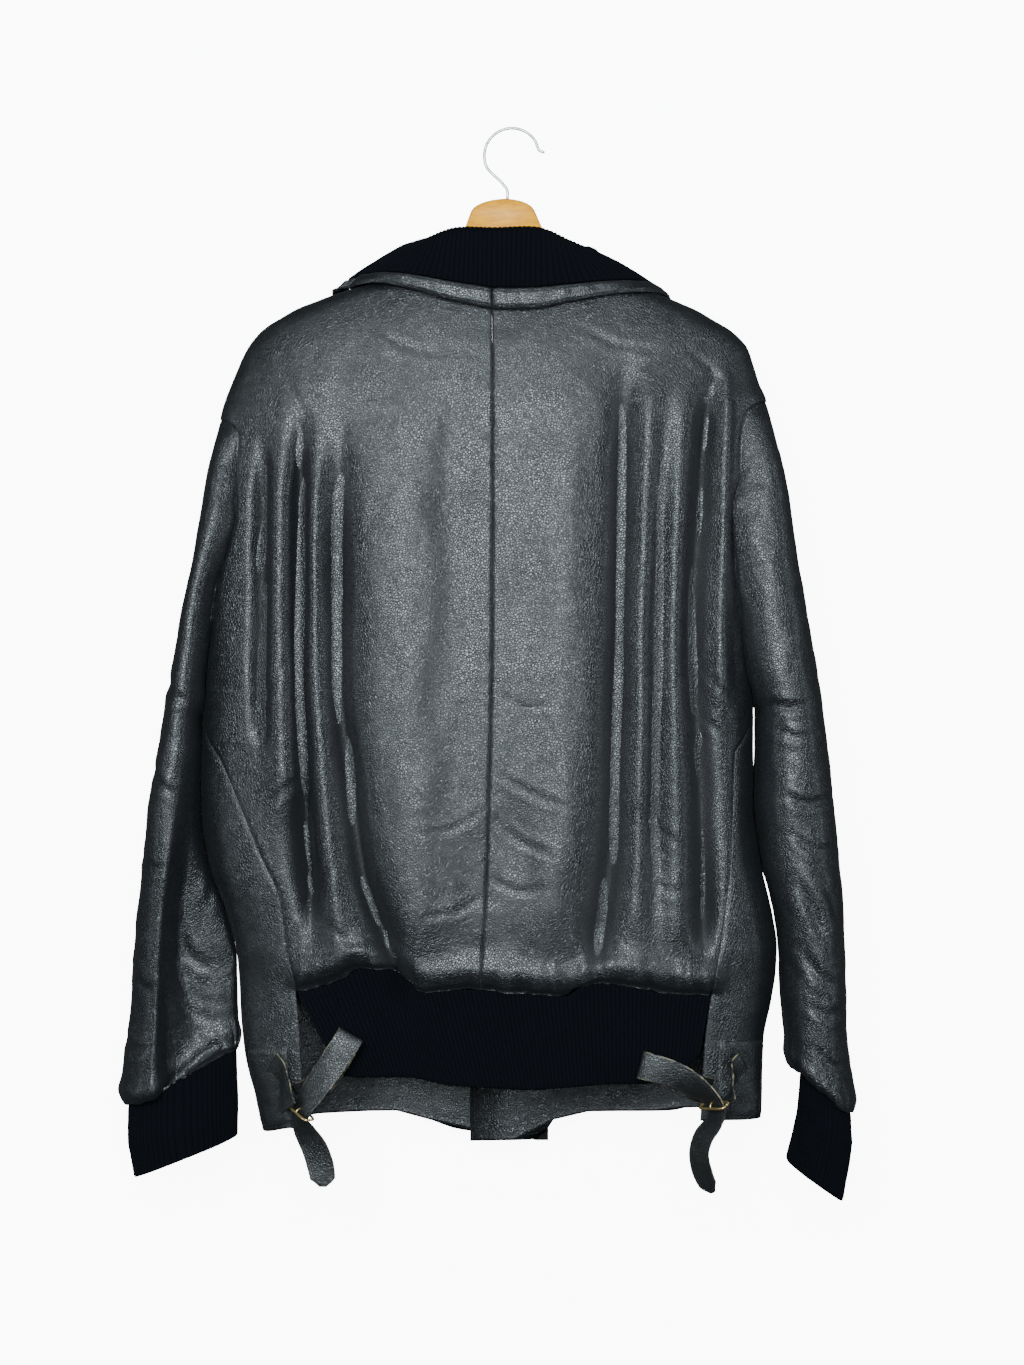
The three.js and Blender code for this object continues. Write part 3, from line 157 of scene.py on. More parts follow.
def spline(points: np.ndarray, t: np.ndarray) -> np.ndarray:
    """Return points of a smooth curve through given points.

    Args:
        points: The given points, one a row.
        t: Shares of the way along the curve, from 0 to 1.

    Returns:
        One point for each share.
    """
    held = np.asarray(points, float)
    last = len(held) - 1
    padded = np.vstack([2 * held[0] - held[1], held, 2 * held[-1] - held[-2]])
    place = np.clip(np.asarray(t, float), 0.0, 1.0) * last
    k = np.minimum(place.astype(int), last - 1)
    w = (place - k)[..., None]
    p0, p1, p2, p3 = (padded[k + i] for i in range(4))
    steps = (p1 - p0, p2 - p1, p3 - p2)
    d0, d1, d2 = (np.sqrt(np.maximum(np.linalg.norm(s, axis=-1, keepdims=True), 1e-6)) for s in steps)
    a = ((p1 - p0) / d0 - (p2 - p0) / (d0 + d1) + (p2 - p1) / d1) * d1
    b = ((p2 - p1) / d1 - (p3 - p1) / (d1 + d2) + (p3 - p2) / d2) * d1
    return p1 + a * w + (3 * (p2 - p1) - 2 * a - b) * w**2 + (2 * (p1 - p2) + a + b) * w**3


def run_of(line: np.ndarray) -> np.ndarray:
    """Return how far along a line of points each point lies."""
    return np.concatenate([[0.0], np.cumsum(np.linalg.norm(np.diff(line, axis=0), axis=1))])


def evenly(line: np.ndarray, count: int, crowd: float = 1.0) -> np.ndarray:
    """Return points at even lengths along a line, or closer together towards its end.

    Args:
        line: The line's points.
        count: How many points to return.
        crowd: 1 for even lengths, and more to crowd the points towards the end.

    Returns:
        The points.
    """
    run = run_of(line)
    want = run[-1] * (1.0 - (1.0 - np.linspace(0.0, 1.0, count)) ** crowd)
    return np.stack([np.interp(want, run, line[:, axis]) for axis in range(3)], axis=1)


def drawn_in(line: np.ndarray, count: int, full: float) -> np.ndarray:
    """Return points along a line that keep their places, apart from those near its end.

    Args:
        line: The line's points.
        count: How many points to return.
        full: The length that the line would have if it weren't cut short.

    Returns:
        The points, drawn in towards the line's end.
    """
    run = run_of(line)
    share = np.linspace(0.0, 1.0, count)
    short = max(full - run[-1], 0.0)
    power = min(9.0, 0.8 * full / max(short, 1e-3))
    want = full * share - short * share ** max(power, 1.0)
    want *= run[-1] / want[-1]
    return np.stack([np.interp(want, run, line[:, axis]) for axis in range(3)], axis=1)


def lattice_noise(points: np.ndarray, size: tuple[float, float, float], seed: int) -> np.ndarray:
    """Return soft noise from -1 to 1 that is the same in every run.

    Args:
        points: Places in millimetres, the last axis being x, y, z.
        size: The size of a bump along each axis, in millimetres.
        seed: A whole number that picks the pattern.

    Returns:
        One value for each place.
    """
    scaled = points / np.array(size, float)
    base = np.floor(scaled).astype(np.int64)
    part = scaled - base
    part = part * part * (3.0 - 2.0 * part)
    total = np.zeros(points.shape[:-1])
    for corner in range(8):
        step = np.array([corner & 1, (corner >> 1) & 1, (corner >> 2) & 1])
        cell = base + step
        mixed = cell[..., 0] * 374761393 + cell[..., 1] * 668265263 + cell[..., 2] * 2147483647
        mixed = (mixed + seed * 1442695041) & 0xFFFFFFFF
        mixed = ((mixed ^ (mixed >> 13)) * 1274126177) & 0xFFFFFFFF
        mixed = ((mixed ^ (mixed >> 16)) * 668265263) & 0xFFFFFFFF
        value = ((mixed ^ (mixed >> 15)) & 0xFFFF) / 32767.5 - 1.0
        weight = np.prod(np.where(step, part, 1.0 - part), axis=-1)
        total += value * weight
    return total


@dataclass(frozen=True)
class Fold:
    """A large fold: the line it follows, its half-width and how far it stands out."""

    line: tuple[tuple[float, float], ...]
    wide: float
    out: float
    start: float
    full: float
    until: float
    gone: float
    power: float = 2.0

    def height(self, x: np.ndarray, z: np.ndarray) -> np.ndarray:
        """Return how far the cloth stands out at places of this fold.

        Args:
            x: Places across in millimetres.
            z: Heights in millimetres.

        Returns:
            The height above the plain shape, in millimetres.
        """
        grows = smooth((self.start - z) / (self.start - self.full))
        fades = 1.0 - smooth((self.until - z) / (self.until - self.gone))
        off = np.abs(x - Table(self.line).at(z)) / self.wide
        return self.out * grows * fades * np.exp(-(off**self.power))


@dataclass(frozen=True)
class Crease:
    """A short crease in the leather, seen from behind: its line, half-width and depth."""

    line: tuple[tuple[float, float], ...]
    wide: float = 3.0
    out: float = -1.6

    def height(self, x: np.ndarray, z: np.ndarray) -> np.ndarray:
        """Return how far the leather stands out at places near this crease.

        Args:
            x: Places across in millimetres.
            z: Heights in millimetres.

        Returns:
            The height above the plain shape, in millimetres.
        """
        held = np.array(self.line, float)
        best = np.full(x.shape, 1e9)
        share = np.zeros(x.shape)
        pieces = len(held) - 1
        for k in range(pieces):
            a, b = held[k], held[k + 1]
            along = b - a
            t = ((x - a[0]) * along[0] + (z - a[1]) * along[1]) / max(float(along @ along), 1e-9)
            t = np.clip(t, 0.0, 1.0)
            away = np.hypot(x - a[0] - along[0] * t, z - a[1] - along[1] * t)
            share = np.where(away < best, (k + t) / pieces, share)
            best = np.minimum(best, away)
        taper = np.sin(math.pi * np.clip(share, 0.02, 0.98)) ** 0.6
        wide = self.wide
        groove = np.exp(-((best / wide) ** 2))
        lip = np.exp(-(((best - 2.1 * wide) / (1.1 * wide)) ** 2))
        return taper * (self.out * groove - self.out * 0.35 * lip)


@dataclass(frozen=True)
class JacketForm:
    """The outline, sections and seams that every piece of the jacket follows."""

    left_edge: Table = Table((
        (-130, -100), (-148, -161), (-173, -214), (-188, -230), (-199, -237), (-215, -244),
        (-236, -252), (-258, -258), (-330, -264), (-420, -270), (-516, -273), (-608, -275),
        (-652, -268), (-692, -253), (-736, -243), (-816, -237), (-874, -223), (-930, -216),
    ))
    right_edge: Table = Table((
        (-134, 80), (-151, 143), (-172, 182), (-183, 199), (-194, 209), (-208, 214), (-226, 219),
        (-242, 225), (-300, 226), (-400, 222), (-510, 214), (-594, 213), (-648, 220), (-700, 232),
        (-725, 235), (-745, 234), (-770, 230), (-807, 223), (-858, 222), (-930, 218),
    ))
    centre: Table = Table((
        (-130, -18), (-244, -17), (-418, -17), (-592, -20), (-679, -23), (-753, -27), (-930, -27),
    ))
    back_depth: Table = Table((
        (-120, 30), (-150, 36), (-200, 43), (-260, 48), (-400, 52), (-600, 53), (-720, 53),
        (-765, 47), (-930, 43),
    ))
    front_depth: Table = Table((
        (-120, 26), (-200, 34), (-260, 42), (-400, 60), (-600, 66), (-760, 64), (-930, 62),
    ))
    rib_seam: Table = Table((
        (-189, -759), (-152, -748), (-136, -739), (-107, -740), (-92, -751), (-76, -760),
        (-36, -757), (-10, -759), (34, -762), (50, -763), (67, -754), (80, -752), (111, -755),
        (140, -761), (176, -763),
    ))
    rib_bottom: Table = Table((
        (-150, -833), (-131, -834), (-93, -834), (-53, -841), (-26, -843), (17, -845), (46, -843),
        (94, -840), (110, -840), (142, -835), (164, -815),
    ))
    front_hem: Table = Table((
        (-260, -884), (-230, -885), (-197, -880), (-116, -879), (-98, -882), (-71, -896),
        (-40, -902), (-36, -906), (22, -905), (35, -896), (41, -885), (57, -880), (142, -878),
        (171, -873), (224, -874), (260, -870),
    ))
    left_armhole: Table = Table((
        (-258, -258), (-262, -250), (-274, -240), (-305, -242), (-339, -242), (-374, -250),
        (-402, -258), (-453, -266), (-500, -271), (-516, -273),
    ))
    right_armhole: Table = Table((
        (-242, 225), (-247, 213), (-256, 205), (-275, 201), (-309, 199), (-338, 193), (-383, 194),
        (-418, 197), (-453, 202), (-484, 208), (-503, 213), (-510, 214),
    ))
    left_side_seam: Table = Table((
        (-516, -273), (-543, -262), (-587, -242), (-645, -217), (-676, -203), (-730, -195),
        (-758, -189), (-811, -185), (-885, -182),
    ))
    right_side_seam: Table = Table((
        (-510, 214), (-525, 204), (-549, 196), (-619, 193), (-652, 191), (-681, 187), (-708, 183),
        (-752, 176), (-776, 172), (-811, 168), (-885, 164),
    ))
    neck_back: float = -143.0
    neck_front: float = -206.0
    arm_top_left: float = -258.0
    arm_top_right: float = -242.0
    underarm_left: float = -516.0
    underarm_right: float = -510.0
    waist: float = -700.0
    seam_turns_over: float = 40.0
    section_power: float = 3.0
    back_folds: tuple[Fold, ...] = (
        Fold(
            ((-227, -141), (-271, -148), (-485, -152), (-609, -137), (-663, -128), (-718, -108),
             (-756, -95), (-835, -93)),
            12, -15, -235, -420, -745, -800, 1.7,
        ),
        Fold(((-260, -168), (-480, -170), (-600, -164), (-700, -152)), 11, 4.5, -250, -340, -690, -750),
        Fold(((-260, -183), (-480, -185), (-600, -183), (-740, -172)), 7, -13, -240, -330, -640, -730, 1.7),
        Fold(((-260, -199), (-480, -203), (-640, -202)), 12, 4.5, -240, -330, -560, -640),
        Fold(((-300, -216), (-560, -221)), 7, -9, -260, -340, -500, -560),
        Fold(((-240, -95), (-500, -98), (-700, -80)), 34, 6, -200, -420, -690, -745),
        Fold(((-230, -52), (-380, -52)), 20, -2.6, -215, -270, -330, -390),
        Fold(((-600, -186), (-690, -176)), 13, -8, -570, -620, -650, -700),
        Fold(((-215, 98), (-420, 92), (-620, 87), (-730, 74)), 12, -13, -190, -300, -700, -760, 1.7),
        Fold(((-215, 50), (-420, 45), (-620, 42), (-730, 34)), 24, 5, -200, -330, -680, -740),
        Fold(((-215, 120), (-420, 112), (-700, 108)), 12, 3.5, -200, -260, -690, -740),
        Fold(((-215, 134), (-420, 128), (-700, 124)), 9, -6, -230, -380, -600, -720),
        Fold(((-215, 152), (-420, 143), (-700, 142)), 12, 3.5, -210, -280, -690, -740),
        Fold(((-203, 176), (-247, 170), (-453, 160), (-592, 166), (-700, 168)), 10, -14, -205, -280,
             -680, -745, 1.7),
        Fold(((-210, 186), (-310, 184), (-520, 182)), 7, 5, -205, -250, -480, -540),
    )
    front_folds: tuple[Fold, ...] = (
        Fold(((-260, -150), (-880, -165)), 16, -10, -260, -420, -800, -900),
        Fold(((-260, -90), (-880, -110)), 22, 6, -260, -420, -800, -900),
        Fold(((-240, 118), (-880, 112)), 16, -10, -240, -400, -800, -900),
        Fold(((-240, 165), (-880, 160)), 16, 6, -240, -400, -800, -900),
    )

    def edge(self, side: Side) -> Table:
        """Return the outline of a side."""
        return self.left_edge if side is Side.LEFT else self.right_edge

    def armhole(self, side: Side) -> Table:
        """Return the armhole seam of a side."""
        return self.left_armhole if side is Side.LEFT else self.right_armhole

    def side_seam(self, side: Side) -> Table:
        """Return the side seam of a side."""
        return self.left_side_seam if side is Side.LEFT else self.right_side_seam

    def arm_top(self, side: Side) -> float:
        """Return the height of the top of an armhole."""
        return self.arm_top_left if side is Side.LEFT else self.arm_top_right

    def underarm(self, side: Side) -> float:
        """Return the height of the lowest point of an armhole."""
        return self.underarm_left if side is Side.LEFT else self.underarm_right

    def body(self, side: Side, turn: np.ndarray, z: np.ndarray) -> np.ndarray:
        """Return points of the jacket's body.

        Args:
            side: The side on which the points lie.
            turn: 0 at the centre back, 1 at the side or shoulder line, 2 at the centre front.
            z: Heights in millimetres.

        Returns:
            The points, with the large folds in them.
        """
        turn, z = np.broadcast_arrays(np.asarray(turn, float), np.asarray(z, float))
        middle = self.centre.at(z)
        half = np.abs(self.edge(side).at(z) - middle)
        angle = turn * math.pi / 2
        across = np.maximum(np.sin(angle), 0.0) ** (2 / self.section_power)
        deep = np.abs(np.cos(angle)) ** (2 / self.section_power)
        back = turn <= 1.0
        way = np.where(back, -1.0, 1.0)
        depth = np.where(back, self.back_depth.at(z), self.front_depth.at(z))
        x = middle + side.sign * half * across
        y = way * depth * deep
        lean = unit(points_of(side.sign * across**2 / half, way * deep**2 / depth, 0.0 * x))
        seam = self.rib_seam.at(x)
        bulge = 8.0 * np.exp(-(((z - seam - 15.0) / 13.0) ** 2)) * smooth((z - seam) / 6.0)
        bulge = np.where(back & (z < seam + 60.0), bulge, 0.0)
        bulge = bulge * smooth((x + 199.0) / 16.0) * smooth((190.0 - x) / 16.0) * 0.7
        wander = x + 2.2 * lattice_noise(points_of(x, 0.0 * x, z), (90.0, 1.0, 110.0), 7)
        swell = 1.0 + 0.25 * lattice_noise(points_of(x, 0.0 * x, z), (40.0, 1.0, 120.0), 8)
        behind = swell * sum(f.height(wander, z) for f in self.back_folds)
        before = sum(f.height(x, z) for f in self.front_folds)
        folds = np.where(back, behind, before) * smooth(deep * 2.2 - 0.5)
        out = folds + bulge * smooth(deep * 2.0)
        return points_of(x, y, z) + lean * out[..., None]

    def turn_at(self, side: Side, x: np.ndarray, z: np.ndarray, front: bool = False) -> np.ndarray:
        """Return the turn at which the body reaches a place across.

        Args:
            side: The side of the jacket.
            x: Places across in millimetres.
            z: Heights in millimetres.
            front: Whether the places are on the front.

        Returns:
            The turn at each place.
        """
        middle = self.centre.at(z)
        share = np.clip(np.abs(x - middle) / np.abs(self.edge(side).at(z) - middle), 0.0, 1.0)
        turn = np.arcsin(share ** (self.section_power / 2)) * 2 / math.pi
        return 2.0 - turn if front else turn

    def back_end(self, side: Side, z: float) -> float:
        """Return the turn of the back panel's outer edge at a height.

        Args:
            side: The side of the jacket.
            z: The height in millimetres.

        Returns:
            The turn of that edge.
        """
        under = self.underarm(side)
        if z >= self.arm_top(side):
            return 1.0
        if z >= under:
            return float(self.turn_at(side, self.armhole(side).at(z), z))
        level = min(z, under - self.seam_turns_over)
        seam = float(self.turn_at(side, self.side_seam(side).at(level), level))
        return float(mix(1.0, seam, min(1.0, (under - z) / self.seam_turns_over)))

    def front_end(self, side: Side, z: float) -> float:
        """Return the turn of the front panel's outer edge at a height.

        Args:
            side: The side of the jacket.
            z: The height in millimetres.

        Returns:
            The turn of that edge.
        """
        top, under = self.arm_top(side), self.underarm(side)
        if z >= top:
            return 1.0
        if z < under:
            return self.back_end(side, z)
        down = (top - z) / (top - under)
        return 1.0 + 0.3 * math.sin(math.pi * down**0.6) ** 0.8


FORM = JacketForm()


@dataclass
class Cloth:
    """A sheet of cloth as a grid of points, with its inner face and its relief."""

    outer: np.ndarray
    facing: float
    thick: float
    relief: np.ndarray = field(default_factory=lambda: np.zeros(0))

    def normals(self) -> np.ndarray:
        """Return the outward normals of the outer grid.

        Returns:
            One unit normal for each point.
        """
        along = np.gradient(self.outer, axis=1)
        down = np.gradient(self.outer, axis=0)
        return unit(np.cross(along, down)) * self.facing

    def push(self, height: np.ndarray) -> None:
        """Move the outer grid out by a height at each point and remember it as relief."""
        self.outer = self.outer + self.normals() * height[..., None]
        self.relief = height if self.relief.shape != height.shape else self.relief + height

    def soften_rims(self, first: float, last: float, top: float, bottom: float) -> None:
        """Roll the rims of the sheet in over their last few millimetres.

        Args:
            first: How deep the first column's rim rolls, in millimetres.
            last: How deep the last column's rim rolls.
            top: How deep the first row's rim rolls.
            bottom: How deep the last row's rim rolls.
        """
        rows, columns, _ = self.outer.shape
        across = np.cumsum(np.linalg.norm(np.diff(self.outer, axis=1), axis=2), axis=1)
        across = np.concatenate([np.zeros((rows, 1)), across], axis=1)
        down = np.cumsum(np.linalg.norm(np.diff(self.outer, axis=0), axis=2), axis=0)
        down = np.concatenate([np.zeros((1, columns)), down], axis=0)
        dip = np.zeros((rows, columns))
        for deep, away in (
            (first, across),
            (last, across[:, -1:] - across),
            (top, down),
            (bottom, down[-1:] - down),
        ):
            dip -= deep * np.exp(-((away / 2.6) ** 2))
        self.outer = self.outer + self.normals() * dip[..., None]

    def inner(self, every: int) -> np.ndarray:
        """Return the inner face, with only some of the columns.

        Args:
            every: How many columns apart the kept ones are.

        Returns:
            The inner grid, in which the last column is always kept.
        """
        face = self.outer - self.normals() * self.thick
        picks = list(range(0, face.shape[1], every))
        if picks[-1] != face.shape[1] - 1:
            picks.append(face.shape[1] - 1)
        return face[:, picks]

    def area(self) -> float:
        """Return the area of the outer grid in square metres.

        Returns:
            The area.
        """
        a = self.outer[1:, :-1] - self.outer[:-1, :-1]
        b = self.outer[:-1, 1:] - self.outer[:-1, :-1]
        c = self.outer[1:, :-1] - self.outer[1:, 1:]
        d = self.outer[:-1, 1:] - self.outer[1:, 1:]
        total = np.linalg.norm(np.cross(a, b), axis=-1).sum()
        total += np.linalg.norm(np.cross(c, d), axis=-1).sum()
        return float(total / 2) * MM * MM


def wall_mesh(name: str, outer: np.ndarray, inner: np.ndarray, relief: np.ndarray) -> bpy.types.Object:
    """Make a closed wall between an outer and an inner grid of points.

    Args:
        name: The name of the new piece.
        outer: The outer grid, with rows, columns and coordinates in millimetres.
        inner: The inner grid, with the same rows and fewer or as many columns.
        relief: How far each outer point stands out of the plain shape, in millimetres.

    Returns:
        The new piece, with UVs in metres along the outer face and a relief attribute.
    """
    rows, wide, _ = outer.shape
    narrow = inner.shape[1]
    o = np.arange(rows * wide).reshape(rows, wide)
    n = np.arange(rows * narrow).reshape(rows, narrow) + rows * wide
    faces: list[list[int]] = []

    def skin(grid: np.ndarray, turned: bool) -> None:
        """Add the quads of one face.

        Args:
            grid: The numbers of the face's points.
            turned: Whether the quads wind the other way.
        """
        a, b, c, d = grid[:-1, :-1], grid[:-1, 1:], grid[1:, 1:], grid[1:, :-1]
        order = (a, b, c, d) if turned else (a, d, c, b)
        faces.extend(np.stack(order, axis=-1).reshape(-1, 4).tolist())

    def stitch(a: np.ndarray, b: np.ndarray, turned: bool) -> None:
        """Join two rims that may have different counts of points.

        Args:
            a: The numbers of one rim's points.
            b: The numbers of the other rim's points.
            turned: Whether the triangles wind the other way.
        """
        i = j = 0
        while i + 1 < len(a) or j + 1 < len(b):
            on_a = j + 1 >= len(b)
            if not on_a and i + 1 < len(a):
                on_a = (i + 1) / (len(a) - 1) <= (j + 1) / (len(b) - 1)
            face = [a[i], a[i + 1], b[j]] if on_a else [a[i], b[j + 1], b[j]]
            faces.append([int(v) for v in (face if not turned else face[::-1])])
            i, j = (i + 1, j) if on_a else (i, j + 1)

    skin(o, False)
    skin(n, True)
    stitch(o[0], n[0], False)
    stitch(o[-1], n[-1], True)
    stitch(o[:, 0], n[:, 0], True)
    stitch(o[:, -1], n[:, -1], False)
    points = np.vstack([outer.reshape(-1, 3), inner.reshape(-1, 3)])
    mesh = bpy.data.meshes.new(name)
    mesh.from_pydata((points * MM).tolist(), [], faces)
    across = np.concatenate(
        [np.zeros((rows, 1)), np.cumsum(np.linalg.norm(np.diff(outer, axis=1), axis=2), axis=1)], axis=1)
    down = np.concatenate(
        [np.zeros((1, wide)), np.cumsum(np.linalg.norm(np.diff(outer, axis=0), axis=2), axis=0)], axis=0)
    flat = np.zeros((len(points), 2))
    flat[: rows * wide, 0] = across.reshape(-1) * MM
    flat[: rows * wide, 1] = down.reshape(-1) * MM
    picks = np.linspace(0, wide - 1, narrow).round().astype(int)
    flat[rows * wide:, 0] = across[:, picks].reshape(-1) * MM
    flat[rows * wide:, 1] = down[:, picks].reshape(-1) * MM
    loops = np.zeros(len(mesh.loops), dtype=np.int32)
    mesh.loops.foreach_get("vertex_index", loops)
    layer = mesh.uv_layers.new(name="cloth")
    layer.data.foreach_set("uv", flat[loops].astype(np.float32).reshape(-1))
    raised = np.zeros(len(points), dtype=np.float32)
    if relief.shape == (rows, wide):
        raised[: rows * wide] = relief.reshape(-1)
    mesh.attributes.new("relief", "FLOAT", "POINT").data.foreach_set("value", raised)
    rim = np.full(len(points), 100.0, dtype=np.float32)
    away = np.minimum(np.minimum(across, across[:, -1:] - across), np.minimum(down, down[-1:] - down))
    rim[: rows * wide] = away.reshape(-1)
    mesh.attributes.new("rim", "FLOAT", "POINT").data.foreach_set("value", rim)
    return piece_of(name, mesh)


def piece_of(name: str, mesh: bpy.types.Mesh) -> bpy.types.Object:
    """Turn a mesh's faces to point out, shade it smooth and link it as a piece.

    Args:
        name: The name of the new piece.
        mesh: The mesh that it gets.

    Returns:
        The new piece.
    """
    work = bmesh.new()
    work.from_mesh(mesh)
    if work.calc_volume(signed=True) < 0:
        bmesh.ops.reverse_faces(work, faces=work.faces)
    work.to_mesh(mesh)
    work.free()
    mesh.shade_smooth()
    piece = bpy.data.objects.new(name, mesh)
    bpy.context.scene.collection.objects.link(piece)
    return piece


def swept(name: str, path: np.ndarray, section: np.ndarray, across: np.ndarray) -> bpy.types.Object:
    """Sweep a closed section along a path.

    Args:
        name: The name of the new piece.
        path: The path's points, in millimetres.
        section: The section's points: across and up for each station, shaped (stations, points, 2).
        across: The direction of the section's width at each station.

    Returns:
        The new piece, closed at both ends.
    """
    along = unit(np.gradient(path, axis=0))
    side = unit(across - along * np.sum(across * along, axis=1, keepdims=True))
    up = np.cross(along, side)
    ring = path[:, None] + side[:, None] * section[..., :1] + up[:, None] * section[..., 1:]
    stations, count, _ = ring.shape
    index = np.arange(stations * count).reshape(stations, count)
    nexts = np.roll(index, -1, axis=1)
    faces = np.stack([index[:-1], index[1:], nexts[1:], nexts[:-1]], axis=-1).reshape(-1, 4).tolist()
    faces.append(index[0].tolist())
    faces.append(index[-1][::-1].tolist())
    mesh = bpy.data.meshes.new(name)
    mesh.from_pydata((ring.reshape(-1, 3) * MM).tolist(), [], faces)
    run = run_of(path)
    flat = np.zeros((stations * count, 2))
    flat[:, 0] = (section[..., 0]).reshape(-1) * MM
    flat[:, 1] = np.repeat(run, count) * MM
    loops = np.zeros(len(mesh.loops), dtype=np.int32)
    mesh.loops.foreach_get("vertex_index", loops)
    layer = mesh.uv_layers.new(name="cloth")
    layer.data.foreach_set("uv", flat[loops].astype(np.float32).reshape(-1))
    half = np.abs(section[..., 0]).max(axis=1, keepdims=True)
    rim = (half - np.abs(section[..., 0])).reshape(-1).astype(np.float32)
    mesh.attributes.new("rim", "FLOAT", "POINT").data.foreach_set("value", rim)
    return piece_of(name, mesh)


def tube(name: str, path: np.ndarray, radius: np.ndarray, sides: int = 14) -> bpy.types.Object:
    """Make a round bar along a path, with a radius at each of its points.

    Args:
        name: The name of the new piece.
        path: The path's points, in millimetres.
        radius: The radius at each of them.
        sides: How many sides the bar has.

    Returns:
        The new piece.
    """
    angle = np.linspace(0.0, 2 * math.pi, sides, endpoint=False)
    circle = np.stack([np.cos(angle), np.sin(angle)], axis=-1)
    round_section = circle[None] * np.asarray(radius)[:, None, None]
    along = unit(np.gradient(path, axis=0))
    helper = np.where(np.abs(along[:, 1:2]) < 0.9, [[0.0, 1.0, 0.0]], [[1.0, 0.0, 0.0]])
    return swept(name, path, round_section, helper)


class Nodes:
    """Small helpers that place and join shader nodes in one tree."""

    def __init__(self, tree: bpy.types.NodeTree) -> None:
        """Keep the tree that the nodes go into."""
        self.tree = tree

    def add(self, kind: str, **values: object) -> bpy.types.Node:
        """Place a node, with properties by name and socket values by the socket's name.

        Args:
            kind: The node's type.
            **values: The properties and socket values to set.

        Returns:
            The new node.
        """
        node = self.tree.nodes.new(kind)
        for key, value in values.items():
            if hasattr(node, key) and key not in node.inputs:
                setattr(node, key, value)
            else:
                node.inputs[key.replace("_", " ")].default_value = value
        return node

    def join(self, source: bpy.types.NodeSocket, target: bpy.types.NodeSocket) -> None:
        """Link one socket to another."""
        self.tree.links.new(source, target)

    def maths(self, kind: str, a: object, b: object = 0.0, c: object = 0.0) -> bpy.types.NodeSocket:
        """Place a maths node on sockets or numbers and return its result.

        Args:
            kind: The operation.
            a: The first socket or number.
            b: The second.
            c: The third, where the operation takes one.

        Returns:
            The socket of the result.
        """
        node = self.tree.nodes.new("ShaderNodeMath")
        node.operation = kind
        for place, value in enumerate((a, b, c)):
            if isinstance(value, bpy.types.NodeSocket):
                self.join(value, node.inputs[place])
            else:
                node.inputs[place].default_value = float(value)
        return node.outputs[0]

    def band(self, value: bpy.types.NodeSocket, low: float, high: float, start: float = 0.0,
             end: float = 1.0) -> bpy.types.NodeSocket:
        """Map a value from one range softly onto another, held at its ends.

        Args:
            value: The socket to map.
            low: The value that becomes start.
            high: The value that becomes end.
            start: The result at low.
            end: The result at high.

        Returns:
            The socket of the result.
        """
        node = self.tree.nodes.new("ShaderNodeMapRange")
        node.interpolation_type = "SMOOTHSTEP"
        self.join(value, node.inputs["Value"])
        node.inputs["From Min"].default_value = low
        node.inputs["From Max"].default_value = high
        node.inputs["To Min"].default_value = start
        node.inputs["To Max"].default_value = end
        return node.outputs["Result"]

    def blend(self, share: bpy.types.NodeSocket, a: object, b: object) -> bpy.types.NodeSocket:
        """Mix two colours by a share and return the result.

        Args:
            share: How much of the second colour shows.
            a: The first socket or colour.
            b: The second.

        Returns:
            The socket of the result.
        """
        node = self.tree.nodes.new("ShaderNodeMix")
        node.data_type = "RGBA"
        self.join(share, node.inputs["Factor"])
        for socket, value in ((node.inputs[6], a), (node.inputs[7], b)):
            if isinstance(value, bpy.types.NodeSocket):
                self.join(value, socket)
            else:
                socket.default_value = (*value, 1.0)
        return node.outputs[2]


def new_group(
    name: str, inputs: dict[str, float], outputs: tuple[str, ...]
) -> tuple[bpy.types.NodeTree, Nodes]:
    """Start a shader node group with named number inputs and outputs.

    Args:
        name: The group's name.
        inputs: The name and the usual value of each input.
        outputs: The names of the outputs, which are all numbers.

    Returns:
        The group and a helper that places nodes in it.
    """
    tree = bpy.data.node_groups.new(name, "ShaderNodeTree")
    for key, value in inputs.items():
        tree.interface.new_socket(key, in_out="INPUT", socket_type="NodeSocketFloat").default_value = value
    for key in outputs:
        tree.interface.new_socket(key, in_out="OUTPUT", socket_type="NodeSocketFloat")
    return tree, Nodes(tree)


